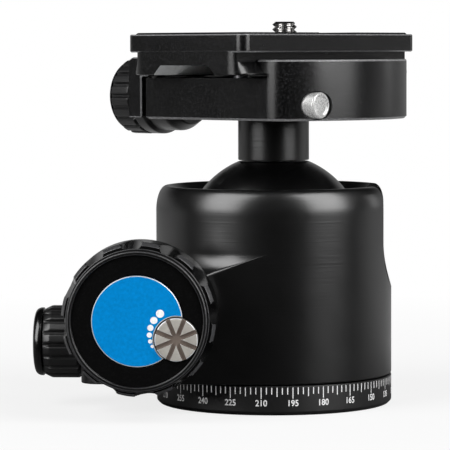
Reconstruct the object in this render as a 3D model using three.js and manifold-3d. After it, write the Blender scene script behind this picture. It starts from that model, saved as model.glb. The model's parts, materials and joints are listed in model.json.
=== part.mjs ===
// A tripod ball head with a panning base, a drop notch, a large lock knob and a dovetail plate clamp.
// Millimetres, +Z up. The lock knob's axis runs along -Y, and the drop notch opens towards +X.
// The finished group is set down with the middle of its box's underside at the origin.
import * as THREE from "three";
import { mergeVertices } from "three/addons/utils/BufferGeometryUtils.js";
import Module from "manifold-3d";

const wasm = await Module();
wasm.setup();

// Clearances and cutting
const fit = 0.3; // between pieces that touch, turn or slide on each other
const overrun = 1; // how far a cutter passes the face that it opens
const smallEdge = 0.3; // chamfer on a sharp turned edge

// Pan base
const baseRadius = 28.5;
const baseHeight = 7;
const baseEdge = 0.8;
const hubRadius = 9;
const hubHeight = 6.2; // above the base's top face
const socketRadius = 4.1; // tripod thread, 3/8 inch, at its crests
const bushingWall = 2.1;
const washerThickness = 0.5;
const washerMargin = 2.7; // lower thrust washer's edge to the bottom plate's edge
const hubNutWidth = 3.5;
const hubNutHeight = 1.6;

// Housing, whose wall and seats give the ball its size
const housingRadius = baseRadius;
const housingWall = 5.2;
const seatRoom = 1.3; // housing's bore to the ball
const ballRise = 3.1; // hub's top to the ball's lowest point
const rimRise = 14.4; // ball's centre to the rim's crest
const rimRoundingIn = 2.5;
const rimRoundingDown = 5.9;
const crestFlare = 1.9; // rim's mouth beyond the bore
const crestEdge = 0.5;
const lipWidth = 2; // lip over the upper seat ring, in from the bore
const lipHeight = 0.6;
const lipDrop = 6.4; // rim's crest to the lip's underside
const bottomPlateHeight = 2.4;
const linerThickness = 0.8;
const linerFrom = THREE.MathUtils.degToRad(14); // angle from the ball's lowest point
const linerGap = 0.27; // liner's upper edge to the brake shoe
const seatTopShare = 0.748; // of the seat's sphere, from the ball's centre down to the seat's top
const seatHoleRadius = 6.5;
const seatSkirtWall = 3.5;
const seatFloorRise = 1.2; // hub's top to the seat's underside
const upperSeatHeight = 4;

// Neck between the ball and the clamp
const neckRadius = 8.6;
const neckStep = 0.1; // ball's flat beyond the neck
const neckLength = 10.4; // ball's flat to the clamp's underside
const notchClearance = 0.9; // drop notch's side to the neck

// Boss that holds the two locks, on the housing's left
const bossReach = 16; // beyond the housing's wall
const bossBack = 12;
const bossCover = 8.75; // lock shaft's axis to the boss's top
const bossCorner = 4;
const bossFillet = 5.4;

// Ball lock: its shaft is parallel to Y, and local heights run outwards from the boss's front face
const lockOffset = 1; // lock shaft's axis beyond the housing's wall
const lockLean = THREE.MathUtils.degToRad(26.255); // from the ball's centre down to the shaft's axis
const lockShaftRadius = 2.5;
const lockShaftReach = 11; // into the knob
const lockShaftEnd = 1.1; // shaft's end to the bore's plug
const lockCollarRadius = 4.2;
const lockCollarHeight = 1.5;
const lockBushRadius = 6.2;
const lockBushLength = 7.2;
const cavityRadius = 5.6;
const coneRoom = 4; // cone's front end to the cavity's front
const coneRadius = 4.6; // where the brake shoe bears on it
const coneLength = 9;
const coneRise = 0.7; // how much wider its back end is than its middle
const shoeRadius = 4.5;
const plugThickness = 2.5;
const plugSlot = 1.2;

// Lock knob, from its grip inwards
const knobGap = 1.2; // boss to knob, which holds a washer
const knobWasherRadius = 8;
const knobWasherThickness = 0.6;
const knobHubRadius = 9;
const knobFront = 17.5;
const knobBack = 2.4;
const gripRadius = 18;
const gripLength = 11.2;
const gripWall = 3.1;
const gripPads = 12;
const scoopRadius = 2.6;
const scoopDepth = 1.3;
const padTurn = THREE.MathUtils.degToRad(-10);
const frontRingInset = 1.95; // from the grip's outside
const frontRingHeight = 1.2;
const stepRingInset = 1.5; // from the grip's outside
const stepRingHeight = 1;
const ringGroove = 0.4;
const ringGrooveDepth = 0.5;
const faceRecess = 0.6;
const faceWall = 0.9;
const platePocket = 0.7;
const facePlateRadius = 10.45;
const facePlateThickness = 0.6;

// Friction dial in the lock knob's face
const dialRadius = 4.95;
const dialX = 9;
const dialY = -4.1;
const dialHeight = 3;
const dialProud = 0.4;
const dialShankRadius = 1.5;
const dialShankLength = 4.4;
const dialGrooves = 4; // each runs right across, so the face shows eight rays
const dialGrooveWidth = 0.85;
const dialGrooveDepth = 0.6;

// Pan lock: its screw is parallel to X, and local heights run outwards from the boss's left face
const panY = -8;
const panRise = 8; // boss's underside to the screw's axis
const panScrewRadius = 2;
const panScrewPast = 3; // screw's full thread past the housing's wall
const panTipLength = 2;
const panTipRadius = 0.7;
const panBushRadius = 4.2;
const panBushLength = 6;
const panShoeInset = 3.6; // shoe's axis inside the housing's wall
const panShoeRadius = 1.9;
const panShoeGap = 0.4; // shoe's top to the screw
const panWasherRadius = 5.5;
const panKnobGap = 1.1;
const panKnobRadius = 8.75;
const panKnobLength = 9.2;
const panKnobFlutes = 18;
const panCapInset = 0.55; // cap's edge inside the knob's ridges
const panCapRounding = 1.35;
const panCapLength = 2.1;
const panCapSpigot = 2;
const panSpigotInset = 2.1;
const fluteDepth = 0.75;
const ridgeShare = 0.5; // of one flute's pitch that is ridge
const flankShare = 0.12; // of one flute's pitch in each sloping flank

// Dovetail plate, in the clamp's frame: U across the plate, V along it
const clampTurn = THREE.MathUtils.degToRad(-39.5);
const tailHalfWidth = 18.6;
const flangeOverhang = 0.4; // beyond the tail, on each side
const dovetailInset = 2.6; // tail's root inside its edge, and the height of its sloping flank
const tailEdge = 0.5; // upright edge below the sloping flank
const tailHeight = 5.35;
const flangeThickness = 4.25;
const plateHalfLength = 31.5;
const plateCorner = 2.5;
const tailCorner = 4;
const channelHalfWidth = 9.7;
const channelTaper = 2.1;
const channelDepth = 2.3;
const padInset = 1.6; // pad's edge from the plate's edge
const padThickness = 1.1;
const padProud = 0.4;
const padGap = 13; // bare strip between the pads, where the screw comes through
const screwV = 4.1;
const screwRadius = 2.95;
const screwProud = 3.1;
const screwTaper = 0.7;
const screwHeadRadius = 6.6;
const screwHeadHeight = 2;
const screwSlot = 1.2; // slot across the screw's head
const screwPocket = 4; // depth of the head's pocket from the plate's underside
const clipWidth = 1.1;
const clipThickness = 0.5;

// Clamp body
const clampRadius = 32.2;
const clampHalfLength = 24;
const clampCorner = 6;
const clampMargin = 1.1; // clamp's left side beyond the plate's tail
const clampHeight = 14.2;
const slotDepth = 4.3;
const slotClearance = 0.7; // slot's floor to the plate
const slotLip = 1; // upright part of the lip above the sloping flank
const lipGap = 0.5; // fixed lip to the plate's root
const boltRadius = 4;
const boltReach = 12.5; // into the ball
const boltEndGap = 2;
const boltHeadRadius = 6.3;
const boltHeadHeight = 5.4;
const boltKeyRadius = 3.1;
const boltKeyDepth = 3;

// Moving jaw
const jawGap = 1.65; // clamp body to jaw
const jawClearance = 0.47; // jaw's lip to the plate's tail
const jawThickness = 4.45;
const jawProud = 0.6; // above the clamp body
const jawEdge = 1.5;
const jawEdgeDrop = 0.8;
const guideInset = 10; // guide pins from the clamp's ends
const guideRadius = 2;
const guideLength = 11.7; // inside the clamp body
const springWire = 0.35; // radius of each spring's wire
const springRadius = 2.85;
const springPocket = 4.7;
const springTurns = 4;

// Clamp screw and knob: local heights run outwards from the jaw's outer face
const clampScrewRise = 5.1; // clamp's underside to the screw's axis
const clampScrewRadius = 2.5;
const clampScrewLength = 11.4; // inside the clamp body
const clampWasherRadius = 5.5;
const clampWasherThickness = 0.6;
const clampKnobRadius = 9.6;
const clampKnobFlutes = 20;
const clampKnobLength = 6.8;
const collarInset = 0.1; // inside the knob's ridges
const collarLength = 3.1;
const collarChamfer = 0.9;
const hubLength = 9.4;
const hubTipInset = 2.5;
const hubTaper = 3;
const spigotRadius = 6;
const clampCapInset = 0.7;
const clampCapLength = 0.6;

// Safety button and the stop pin in the slot's floor
const buttonInset = 8; // from the clamp's front
const buttonRise = 3.6; // clamp's underside to the button's axis
const buttonRadius = 3.05;
const buttonProud = 1.15;
const buttonLength = 9.1;
const buttonStemRadius = 1.5;
const buttonSpringRadius = 2.4;
const buttonSpringRoom = 8; // button's barrel to the end of its bore
const stopPinU = 4;
const stopPinRadius = 1.9;
const stopPinRise = 1.7; // button's stem to the pin
const stopPinProud = 1.1;

// How finely round shapes are divided
const roundSides = 40;
const smallSides = 20;
const hexSides = 6;
const arcSteps = 5;
const coilSteps = 8;
const wireSides = 5;

// Heights and radii that follow from the sizes above. Heights are above the tripod's face.
const hubTop = baseHeight + hubHeight;
const housingBottom = baseHeight + fit;
const lowerWasherBottom = baseHeight + fit;
const bottomPlateBottom = lowerWasherBottom + washerThickness + fit;
const bottomPlateTop = bottomPlateBottom + bottomPlateHeight;
const upperWasherBottom = bottomPlateTop + fit;
const hubNutBottom = upperWasherBottom + washerThickness + fit;
const boreRadius = housingRadius - housingWall;
const ballRadius = boreRadius - seatRoom;
const ballCentre = hubTop + ballRise + ballRadius;
const rimTop = ballCentre + rimRise;
const crestInnerRadius = boreRadius + crestFlare;
const lipRadius = boreRadius - lipWidth;
const lipBottom = rimTop - lipDrop;
const linerInner = ballRadius + fit;
const linerOuter = linerInner + linerThickness;
const seatSphere = linerOuter + fit;
const seatTop = ballCentre - seatSphere * seatTopShare;
const seatFloor = hubTop + seatFloorRise;
const linerTo = Math.PI / 2 - lockLean - Math.asin((shoeRadius + linerGap) / seatSphere);
const notchRadius = neckRadius + notchClearance;
const neckSeat = ballCentre + Math.sqrt(ballRadius ** 2 - (neckRadius + neckStep) ** 2);

const bossLeft = -housingRadius - bossReach;
const lockX = -housingRadius - lockOffset;
const lockZ = ballCentre + lockX * Math.tan(lockLean);
const bossTop = lockZ + bossCover;
const cavityFront = housingRadius - coneLength / 2 - coneRoom;
const plugFront = housingRadius + bossBack - plugThickness;
const lockShaftDepth = plugFront - lockShaftEnd;
const knobBodyRadius = gripRadius - gripWall - fit;
const frontRingRadius = gripRadius - frontRingInset;
const stepRingRadius = gripRadius - stepRingInset;
const panZ = housingBottom + panRise;
const panScrewDepth = bossReach + panScrewPast;
const panShoeX = -housingRadius + panShoeInset;
const panCapRadius = panKnobRadius - panCapInset;
const panCapEndRadius = panCapRadius - panCapRounding;

const rootHalfWidth = tailHalfWidth - dovetailInset;
const plateHalfWidth = tailHalfWidth + flangeOverhang;
const clampBottom = neckSeat + neckLength;
const clampTop = clampBottom + clampHeight;
const slotFloor = clampTop - slotDepth;
const plateBottom = slotFloor + slotClearance;
const flangeBottom = plateBottom + tailHeight;
const plateTop = flangeBottom + flangeThickness;
const screwTip = plateTop + screwProud;
const lipU = rootHalfWidth + lipGap;
const clampLeft = -tailHalfWidth - clampMargin;
const jawInner = clampLeft - jawGap;
const jawOuter = jawInner - jawThickness;
const jawTop = clampTop + jawProud;
const guideV = clampHalfLength - guideInset;
const guideTip = clampLeft + guideLength;
const clampScrewZ = clampBottom + clampScrewRise;
const clampScrewTip = clampLeft + clampScrewLength;
const collarRadius = clampKnobRadius - collarInset;
const hubTipRadius = collarRadius - hubTipInset;
const clampCapRadius = clampKnobRadius - clampCapInset;
const boltTip = neckSeat - boltReach;
const boltBore = boltTip - boltEndGap;
const buttonV = -clampHalfLength + buttonInset;
const buttonZ = clampBottom + buttonRise;
const buttonEnd = Math.sqrt(clampRadius ** 2 - buttonV ** 2) + buttonProud;
const buttonSpringSeat = buttonEnd - buttonLength - buttonSpringRoom;
const buttonStemEnd = stopPinU + stopPinRadius + fit;
const stopPinBottom = buttonZ + buttonStemRadius + stopPinRise;
const stopPinTop = slotFloor + stopPinProud;

// Finishes
const finish = (color, roughness, metalness) =>
  new THREE.MeshStandardMaterial({ color, roughness, metalness });
const blackAnodised = finish(0x17181a, 0.45, 0.7);
const blackRubber = finish(0x111214, 0.6, 0);
const blueAnodised = finish(0x0b84cf, 0.5, 0.4);
const brightSteel = finish(0xc9cacc, 0.25, 1);
const darkSteel = finish(0x6f7275, 0.35, 1);
const brass = finish(0xb59552, 0.35, 1);
const acetal = finish(0xe6e4dc, 0.5, 0);

// Closed shapes

// A solid for joining and cutting, from a closed geometry.
function solidOf(shape) {
  if (!(shape instanceof THREE.BufferGeometry)) return shape;
  const bare = new THREE.BufferGeometry();
  bare.setAttribute("position", shape.getAttribute("position"));
  bare.setIndex(shape.index);
  const merged = mergeVertices(bare);
  const corners = merged.index.array;
  const faces = [];
  for (let i = 0; i < corners.length; i += 3) {
    const [a, b, c] = corners.subarray(i, i + 3);
    if (a !== b && b !== c && c !== a) faces.push(a, b, c);
  }
  return new wasm.Manifold(
    new wasm.Mesh({
      numProp: 3,
      vertProperties: merged.getAttribute("position").array,
      triVerts: new Uint32Array(faces),
    }),
  );
}

function join(...shapes) {
  return shapes.map(solidOf).reduce((whole, shape) => whole.add(shape));
}

function cut(body, ...cutters) {
  return cutters.map(solidOf).reduce((left, cutter) => left.subtract(cutter), solidOf(body));
}

function common(body, other) {
  return solidOf(body).intersect(solidOf(other));
}

// Revolves [radius, height] points about Z. The outline runs anticlockwise with the radius to the right.
function turned(outline, sides = roundSides) {
  const closed = outline[0][0] === 0 ? outline : [...outline, outline[0]];
  const points = closed.map(([radius, height]) => new THREE.Vector2(radius, height));
  return new THREE.LatheGeometry(points, sides).rotateX(Math.PI / 2);
}

function rod(radius, low, high, sides = roundSides) {
  return turned([[0, low], [radius, low], [radius, high], [0, high]], sides);
}

function tube(inner, outer, low, high, sides = roundSides) {
  return turned([[inner, low], [outer, low], [outer, high], [inner, high]], sides);
}

// Raises an outline of [x, y] points from one height to another.
function prism(points, low, high) {
  const shape = new THREE.Shape(points.map(([x, y]) => new THREE.Vector2(x, y)));
  return new THREE.ExtrudeGeometry(shape, { depth: high - low, bevelEnabled: false }).translate(0, 0, low);
}

// The same, for an outline of [u, z] points that runs along V.
function rail(points, low, high) {
  return prism(points, -high, -low).rotateX(Math.PI / 2);
}

function arc(x, y, radius, from, to, steps = arcSteps, radiusY = radius) {
  return Array.from({ length: steps + 1 }, (_, i) => {
    const angle = from + ((to - from) * i) / steps;
    return [x + radius * Math.cos(angle), y + radiusY * Math.sin(angle)];
  });
}

// A rectangle whose corners are round, as [x, y] points.
function roundedOutline(left, right, front, back, radius) {
  const quarter = Math.PI / 2;
  return [
    ...arc(left + radius, front + radius, radius, -2 * quarter, -quarter),
    ...arc(right - radius, front + radius, radius, -quarter, 0),
    ...arc(right - radius, back - radius, radius, 0, quarter),
    ...arc(left + radius, back - radius, radius, quarter, 2 * quarter),
  ];
}

// An outline with ridges and sloping flutes all round.
function flutedOutline(radius, flutes) {
  const pitch = (2 * Math.PI) / flutes;
  const halfRidge = (pitch * ridgeShare) / 2;
  const flank = pitch * flankShare;
  const root = radius - fluteDepth;
  const points = [];
  for (let i = 0; i < flutes; i += 1) {
    const middle = i * pitch;
    for (const [r, angle] of [
      [root, middle - halfRidge - flank],
      [radius, middle - halfRidge],
      [radius, middle + halfRidge],
      [root, middle + halfRidge + flank],
    ])
      points.push([r * Math.cos(angle), r * Math.sin(angle)]);
  }
  return points;
}

// Points of a sphere about the ball's centre, as [radius, height], by their angle from its lowest point.
function sphereArc(radius, from, to, steps = arcSteps) {
  return Array.from({ length: steps + 1 }, (_, i) => {
    const angle = from + ((to - from) * i) / steps;
    return [radius * Math.sin(angle), ballCentre - radius * Math.cos(angle)];
  });
}

const angleAtHeight = (radius, height) => Math.acos((ballCentre - height) / radius);
const angleAtRadius = (radius, out) => Math.asin(out / radius);

// A coil spring's centre line about Z.
class CoilLine extends THREE.Curve {
  constructor(radius, low, high) {
    super();
    Object.assign(this, { radius, low, high });
  }
  getPoint(t, target = new THREE.Vector3()) {
    const angle = 2 * Math.PI * springTurns * t;
    const height = this.low + (this.high - this.low) * t;
    return target.set(this.radius * Math.cos(angle), this.radius * Math.sin(angle), height);
  }
}

function coil(radius, low, high) {
  const wire = new THREE.Shape(
    arc(0, 0, springWire, 0, 2 * Math.PI, wireSides)
      .slice(0, wireSides)
      .map(([x, y]) => new THREE.Vector2(x, y)),
  );
  return new THREE.ExtrudeGeometry(wire, {
    steps: springTurns * coilSteps,
    extrudePath: new CoilLine(radius, low + springWire, high - springWire),
  });
}

// Frames whose local Z points outwards along an axis, with local Y upwards
function facing(x, y, z, direction) {
  const outwards = direction.clone().normalize();
  const across = new THREE.Vector3(0, 0, 1).cross(outwards).normalize();
  const upwards = outwards.clone().cross(across);
  return new THREE.Matrix4().makeBasis(across, upwards, outwards).setPosition(x, y, z);
}

const frontFacing = new THREE.Vector3(0, -1, 0);
const leftFacing = new THREE.Vector3(-1, 0, 0);
const rightFacing = new THREE.Vector3(1, 0, 0);
const lockFrame = facing(lockX, -housingRadius, lockZ, frontFacing);
const panFrame = facing(bossLeft, panY, panZ, leftFacing);
const clampFrame = new THREE.Matrix4().makeRotationZ(clampTurn);
const clampScrewFrame = facing(jawOuter, 0, clampScrewZ, leftFacing);
const buttonFrame = facing(0, buttonV, buttonZ, rightFacing);
const shoeReach = Math.hypot(lockX, ballCentre - lockZ); // ball centre to the lock shaft's axis
const shoeFrame = facing(0, 0, ballCentre, new THREE.Vector3(lockX, 0, lockZ - ballCentre));

const head = new THREE.Group();
function placed(frame, parent = head) {
  const group = new THREE.Group();
  group.applyMatrix4(frame);
  parent.add(group);
  return group;
}
const lock = placed(lockFrame);
const pan = placed(panFrame);
const shoe = placed(shoeFrame);
const clamp = placed(clampFrame);
const clampScrew = placed(clampScrewFrame, clamp);
const button = placed(buttonFrame, clamp);

// Adds one piece to a group, from a solid or a closed geometry in that group's own frame.
function piece(parent, name, shape, material) {
  const { vertProperties, triVerts } = solidOf(shape).getMesh();
  const geometry = new THREE.BufferGeometry();
  geometry.setAttribute("position", new THREE.BufferAttribute(new Float32Array(vertProperties), 3));
  geometry.setIndex(new THREE.BufferAttribute(new Uint32Array(triVerts), 1));
  const mesh = new THREE.Mesh(geometry.toNonIndexed(), material);
  mesh.geometry.computeVertexNormals();
  mesh.name = name;
  parent.add(mesh);
}

// Pan base: a graduated disc with a hub that carries the housing

function addBase() {
  const bushingBore = socketRadius + bushingWall + fit;
  const base = turned([
    [bushingBore, 0],
    [baseRadius - baseEdge, 0],
    [baseRadius, baseEdge],
    [baseRadius, baseHeight - smallEdge],
    [baseRadius - smallEdge, baseHeight],
    [hubRadius, baseHeight],
    [hubRadius, hubTop],
    [bushingBore, hubTop],
  ]);
  piece(head, "pan_base", base, blackAnodised);
  const bushing = tube(socketRadius, socketRadius + bushingWall, fit, hubTop, smallSides);
  piece(head, "tripod_bushing", bushing, darkSteel);
  const nutInner = hubRadius + fit;
  const nut = tube(nutInner, nutInner + hubNutWidth, hubNutBottom, hubNutBottom + hubNutHeight);
  piece(head, "hub_nut", nut, darkSteel);
}

// Housing: shell with the ball's bore, the drop notch and the lock boss

function housingShell() {
  const roundingX = housingRadius - rimRoundingIn;
  const roundingZ = rimTop - rimRoundingDown;
  const rounding = arc(roundingX, roundingZ, rimRoundingIn, 0, Math.PI / 2, arcSteps, rimRoundingDown);
  return turned([
    [0, housingBottom],
    [housingRadius - smallEdge, housingBottom],
    [housingRadius, housingBottom + smallEdge],
    ...rounding,
    [0, rimTop],
  ]);
}

function bossBlock() {
  const outline = roundedOutline(bossLeft, bossCorner, -housingRadius, bossBack, bossCorner);
  const quarter = arc(housingRadius + bossFillet, bossTop + bossFillet, bossFillet, -Math.PI / 2, -Math.PI);
  const skirt = turned([
    [0, housingBottom + overrun],
    [housingRadius + bossFillet, housingBottom + overrun],
    ...quarter,
    [0, bossTop + bossFillet],
  ]);
  const reach = prism(outline, housingBottom + smallEdge, bossTop + bossFillet);
  return join(prism(outline, housingBottom, bossTop), common(skirt, reach));
}

function ballBore() {
  return turned([
    [0, housingBottom - overrun],
    [boreRadius, housingBottom - overrun],
    [boreRadius, lipBottom],
    [lipRadius, lipBottom],
    [lipRadius, lipBottom + lipHeight],
    [crestInnerRadius - crestEdge, rimTop - crestEdge],
    [crestInnerRadius, rimTop],
    [crestInnerRadius, rimTop + overrun],
    [0, rimTop + overrun],
  ]);
}

// The drop notch as a cutter, open at the top and round at the bottom.
function dropNotch() {
  const outline = [
    ...arc(0, ballCentre, notchRadius, -Math.PI, 0, 2 * arcSteps),
    [notchRadius, rimTop + overrun],
    [-notchRadius, rimTop + overrun],
  ];
  const across = prism(outline, 0, housingRadius + overrun);
  const standing = new THREE.Matrix4().makeBasis(
    new THREE.Vector3(0, 1, 0),
    new THREE.Vector3(0, 0, 1),
    new THREE.Vector3(1, 0, 0),
  );
  return across.applyMatrix4(standing);
}

function lockCutters() {
  const shaftHole = lockShaftRadius + fit;
  const collarBack = lockBushLength + fit + lockCollarHeight + fit;
  const through = housingRadius + bossBack + overrun;
  const shapes = [
    rod(lockBushRadius + fit, -lockBushLength - fit, overrun, smallSides),
    rod(lockCollarRadius + fit, -collarBack, overrun, smallSides),
    rod(shaftHole, -through, overrun, smallSides),
    rod(cavityRadius, -through, -cavityFront, smallSides),
  ];
  return shapes.map((shape) => shape.applyMatrix4(lockFrame));
}

function panCutters() {
  const shapes = [
    rod(panBushRadius + fit, -panBushLength - fit, overrun, smallSides),
    rod(panScrewRadius + fit, -panScrewDepth - panTipLength - fit, overrun, smallSides),
  ];
  const shoeHole = rod(panShoeRadius + fit, housingBottom - overrun, panZ, smallSides);
  return [...shapes.map((shape) => shape.applyMatrix4(panFrame)), shoeHole.translate(panShoeX, panY, 0)];
}

function addHousing() {
  const shoeHole = rod(shoeRadius + fit, ballRadius, shoeReach - coneRadius, smallSides);
  const housing = cut(
    join(housingShell(), bossBlock()),
    ballBore(),
    dropNotch(),
    shoeHole.applyMatrix4(shoeFrame),
    ...lockCutters(),
    ...panCutters(),
  );
  piece(head, "housing", housing, blackAnodised);

  const seatOuter = boreRadius - fit;
  const upperTop = lipBottom - fit;
  const upperBottom = upperTop - upperSeatHeight;
  const upperSeat = turned([
    [seatOuter, upperBottom],
    [seatOuter, upperTop],
    ...sphereArc(linerInner, angleAtHeight(linerInner, upperTop), angleAtHeight(linerInner, upperBottom)),
  ]);
  piece(head, "upper_seat_ring", cut(upperSeat, dropNotch()), brass);

  const cupTop = angleAtHeight(seatSphere, seatTop);
  const cup = sphereArc(seatSphere, cupTop, angleAtRadius(seatSphere, seatHoleRadius));
  const lowerSeat = turned([
    [seatHoleRadius, seatFloor],
    [seatOuter - seatSkirtWall, seatFloor],
    [seatOuter - seatSkirtWall, bottomPlateTop + fit],
    [seatOuter, bottomPlateTop + fit],
    [seatOuter, seatTop],
    ...cup,
  ]);
  piece(head, "lower_seat", lowerSeat, acetal);

  const hubBore = hubRadius + fit;
  piece(head, "bottom_plate", tube(hubBore, seatOuter, bottomPlateBottom, bottomPlateTop), blackAnodised);
  const lowerWasherTop = lowerWasherBottom + washerThickness;
  const lowerWasher = tube(hubBore, seatOuter - washerMargin, lowerWasherBottom, lowerWasherTop);
  piece(head, "lower_thrust_washer", lowerWasher, acetal);
  const upperWasherTop = upperWasherBottom + washerThickness;
  const upperWasher = tube(hubBore, hubBore + hubNutWidth, upperWasherBottom, upperWasherTop);
  piece(head, "upper_thrust_washer", upperWasher, acetal);
}

// Ball, the liner that it turns in, and the neck above it

function addBall() {
  const liner = turned([
    ...sphereArc(linerOuter, linerFrom, linerTo),
    ...sphereArc(linerInner, linerTo, linerFrom),
  ]);
  piece(head, "ball_liner", liner, acetal);

  const boreWall = boltRadius + fit;
  const flatAngle = angleAtHeight(ballRadius, neckSeat);
  const ball = turned([
    ...sphereArc(ballRadius, 0, flatAngle, 3 * arcSteps),
    [boreWall, neckSeat],
    [boreWall, boltBore],
    [0, boltBore],
  ]);
  piece(head, "ball", ball, blackAnodised);
  piece(clamp, "neck", tube(boreWall, neckRadius, neckSeat + fit, clampBottom - fit), blackAnodised);
}

// Ball lock inside the boss

function addBallLock() {
  const collarBack = lockBushLength + fit + lockCollarHeight;
  const shaft = turned(
    [
      [0, -lockShaftDepth],
      [lockShaftRadius, -lockShaftDepth],
      [lockShaftRadius, -collarBack],
      [lockCollarRadius, -collarBack],
      [lockCollarRadius, -lockBushLength - fit],
      [lockShaftRadius, -lockBushLength - fit],
      [lockShaftRadius, lockShaftReach],
      [0, lockShaftReach],
    ],
    smallSides,
  );
  piece(lock, "main_lock_shaft", shaft, darkSteel);
  const bush = tube(lockShaftRadius + fit, lockBushRadius, -lockBushLength, 0, smallSides);
  piece(lock, "main_lock_bush", bush, brass);

  const coneBore = lockShaftRadius + fit;
  const coneMiddle = -housingRadius;
  const cone = turned(
    [
      [coneBore, coneMiddle - coneLength / 2],
      [coneRadius + coneRise, coneMiddle - coneLength / 2],
      [coneRadius - coneRise, coneMiddle + coneLength / 2],
      [coneBore, coneMiddle + coneLength / 2],
    ],
    smallSides,
  );
  piece(lock, "lock_cone", cone, darkSteel);

  const plugBack = -plugFront - plugThickness;
  const plugSlotHalf = plugSlot / 2;
  const slot = prism(
    roundedOutline(-cavityRadius, cavityRadius, -plugSlotHalf, plugSlotHalf, plugSlotHalf / 2),
    plugBack - overrun,
    plugBack + plugSlot,
  );
  const plug = cut(rod(cavityRadius - fit, plugBack, -plugFront, smallSides), slot);
  piece(lock, "lock_bore_plug", plug, blackAnodised);

  const shoeEnd = shoeReach - coneRadius - coneRise - fit;
  const shoeBody = cut(
    rod(shoeRadius, ballRadius, shoeEnd, smallSides),
    new THREE.SphereGeometry(seatSphere, roundSides, roundSides / 2),
  );
  piece(shoe, "brake_shoe", shoeBody, brass);
}

// Lock knob with its grip, face plate and friction dial

function addLockKnob() {
  const washer = tube(lockShaftRadius + fit, knobWasherRadius, fit, fit + knobWasherThickness, smallSides);
  piece(lock, "main_knob_washer", washer, acetal);

  const shaftBore = lockShaftRadius + fit;
  const frontRingBack = knobFront - frontRingHeight;
  const stepTop = frontRingBack - ringGroove;
  const stepBottom = stepTop - stepRingHeight;
  const gripFront = stepBottom - ringGroove;
  const faceDepth = knobFront - faceRecess;
  const pocketFloor = faceDepth - platePocket;
  const core = turned([
    [0, lockShaftReach + fit],
    [shaftBore, lockShaftReach + fit],
    [shaftBore, knobGap],
    [knobHubRadius, knobGap],
    [knobHubRadius, knobBack],
    [knobBodyRadius, knobBack],
    [knobBodyRadius, gripFront],
    [stepRingRadius - ringGrooveDepth, gripFront],
    [stepRingRadius - ringGrooveDepth, stepBottom],
    [stepRingRadius, stepBottom],
    [stepRingRadius, stepTop],
    [frontRingRadius - ringGrooveDepth, stepTop],
    [frontRingRadius - ringGrooveDepth, frontRingBack],
    [frontRingRadius, frontRingBack],
    [frontRingRadius, knobFront - smallEdge],
    [frontRingRadius - smallEdge, knobFront],
    [frontRingRadius - faceWall, knobFront],
    [frontRingRadius - faceWall, faceDepth],
    [facePlateRadius + fit, faceDepth],
    [facePlateRadius + fit, pocketFloor],
    [0, pocketFloor],
  ]);
  const dialTop = knobFront + dialProud;
  const dialBottom = dialTop - dialHeight;
  const dialHole = rod(dialRadius + fit, dialBottom - fit, dialTop, smallSides).translate(dialX, dialY, 0);
  const shankBottom = dialBottom - dialShankLength;
  const shankHole = rod(dialShankRadius + fit, shankBottom - fit, dialTop, smallSides);
  const coreCut = cut(core, dialHole, shankHole.translate(dialX, dialY, 0));
  piece(lock, "main_knob_core", coreCut, blackAnodised);

  const scoops = Array.from({ length: gripPads }, (_, i) => {
    const angle = padTurn + ((2 * i + 1) * Math.PI) / gripPads;
    const out = gripRadius + scoopRadius - scoopDepth;
    const scoop = rod(scoopRadius, 0, knobFront, smallSides / 2);
    return scoop.translate(out * Math.cos(angle), out * Math.sin(angle), 0);
  });
  const gripBottom = gripFront - fit - gripLength;
  const grip = turned([
    [knobBodyRadius + fit, gripBottom],
    [gripRadius - smallEdge, gripBottom],
    [gripRadius, gripBottom + smallEdge],
    [gripRadius, gripFront - fit - 2 * smallEdge],
    [gripRadius - 2 * smallEdge, gripFront - fit],
    [knobBodyRadius + fit, gripFront - fit],
  ]);
  piece(lock, "main_knob_grip", cut(grip, ...scoops), blackRubber);

  const plateBack = pocketFloor + fit;
  const facePlate = rod(facePlateRadius, plateBack, plateBack + facePlateThickness);
  const aroundDial = rod(dialRadius + fit, dialBottom, dialTop, smallSides).translate(dialX, dialY, 0);
  piece(lock, "knob_face_plate", cut(facePlate, aroundDial), blueAnodised);

  const dial = turned(
    [
      [0, shankBottom],
      [dialShankRadius, shankBottom],
      [dialShankRadius, dialBottom],
      [dialRadius, dialBottom],
      [dialRadius, dialTop - smallEdge],
      [dialRadius - smallEdge, dialTop],
      [0, dialTop],
    ],
    smallSides,
  );
  const grooveHalf = dialGrooveWidth / 2;
  const rays = Array.from({ length: dialGrooves }, (_, i) => {
    const bar = prism(
      [
        [-gripRadius, -grooveHalf],
        [gripRadius, -grooveHalf],
        [gripRadius, grooveHalf],
        [-gripRadius, grooveHalf],
      ],
      dialTop - dialGrooveDepth,
      dialTop + overrun,
    );
    return bar.rotateZ(((2 * i + 1) * Math.PI) / (2 * dialGrooves));
  });
  const dialPlace = placed(new THREE.Matrix4().makeTranslation(dialX, dialY, 0), lock);
  piece(dialPlace, "friction_dial", cut(dial, ...rays), brightSteel);
}

// Pan lock: knob, screw and the shoe that it wedges down onto the base

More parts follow.
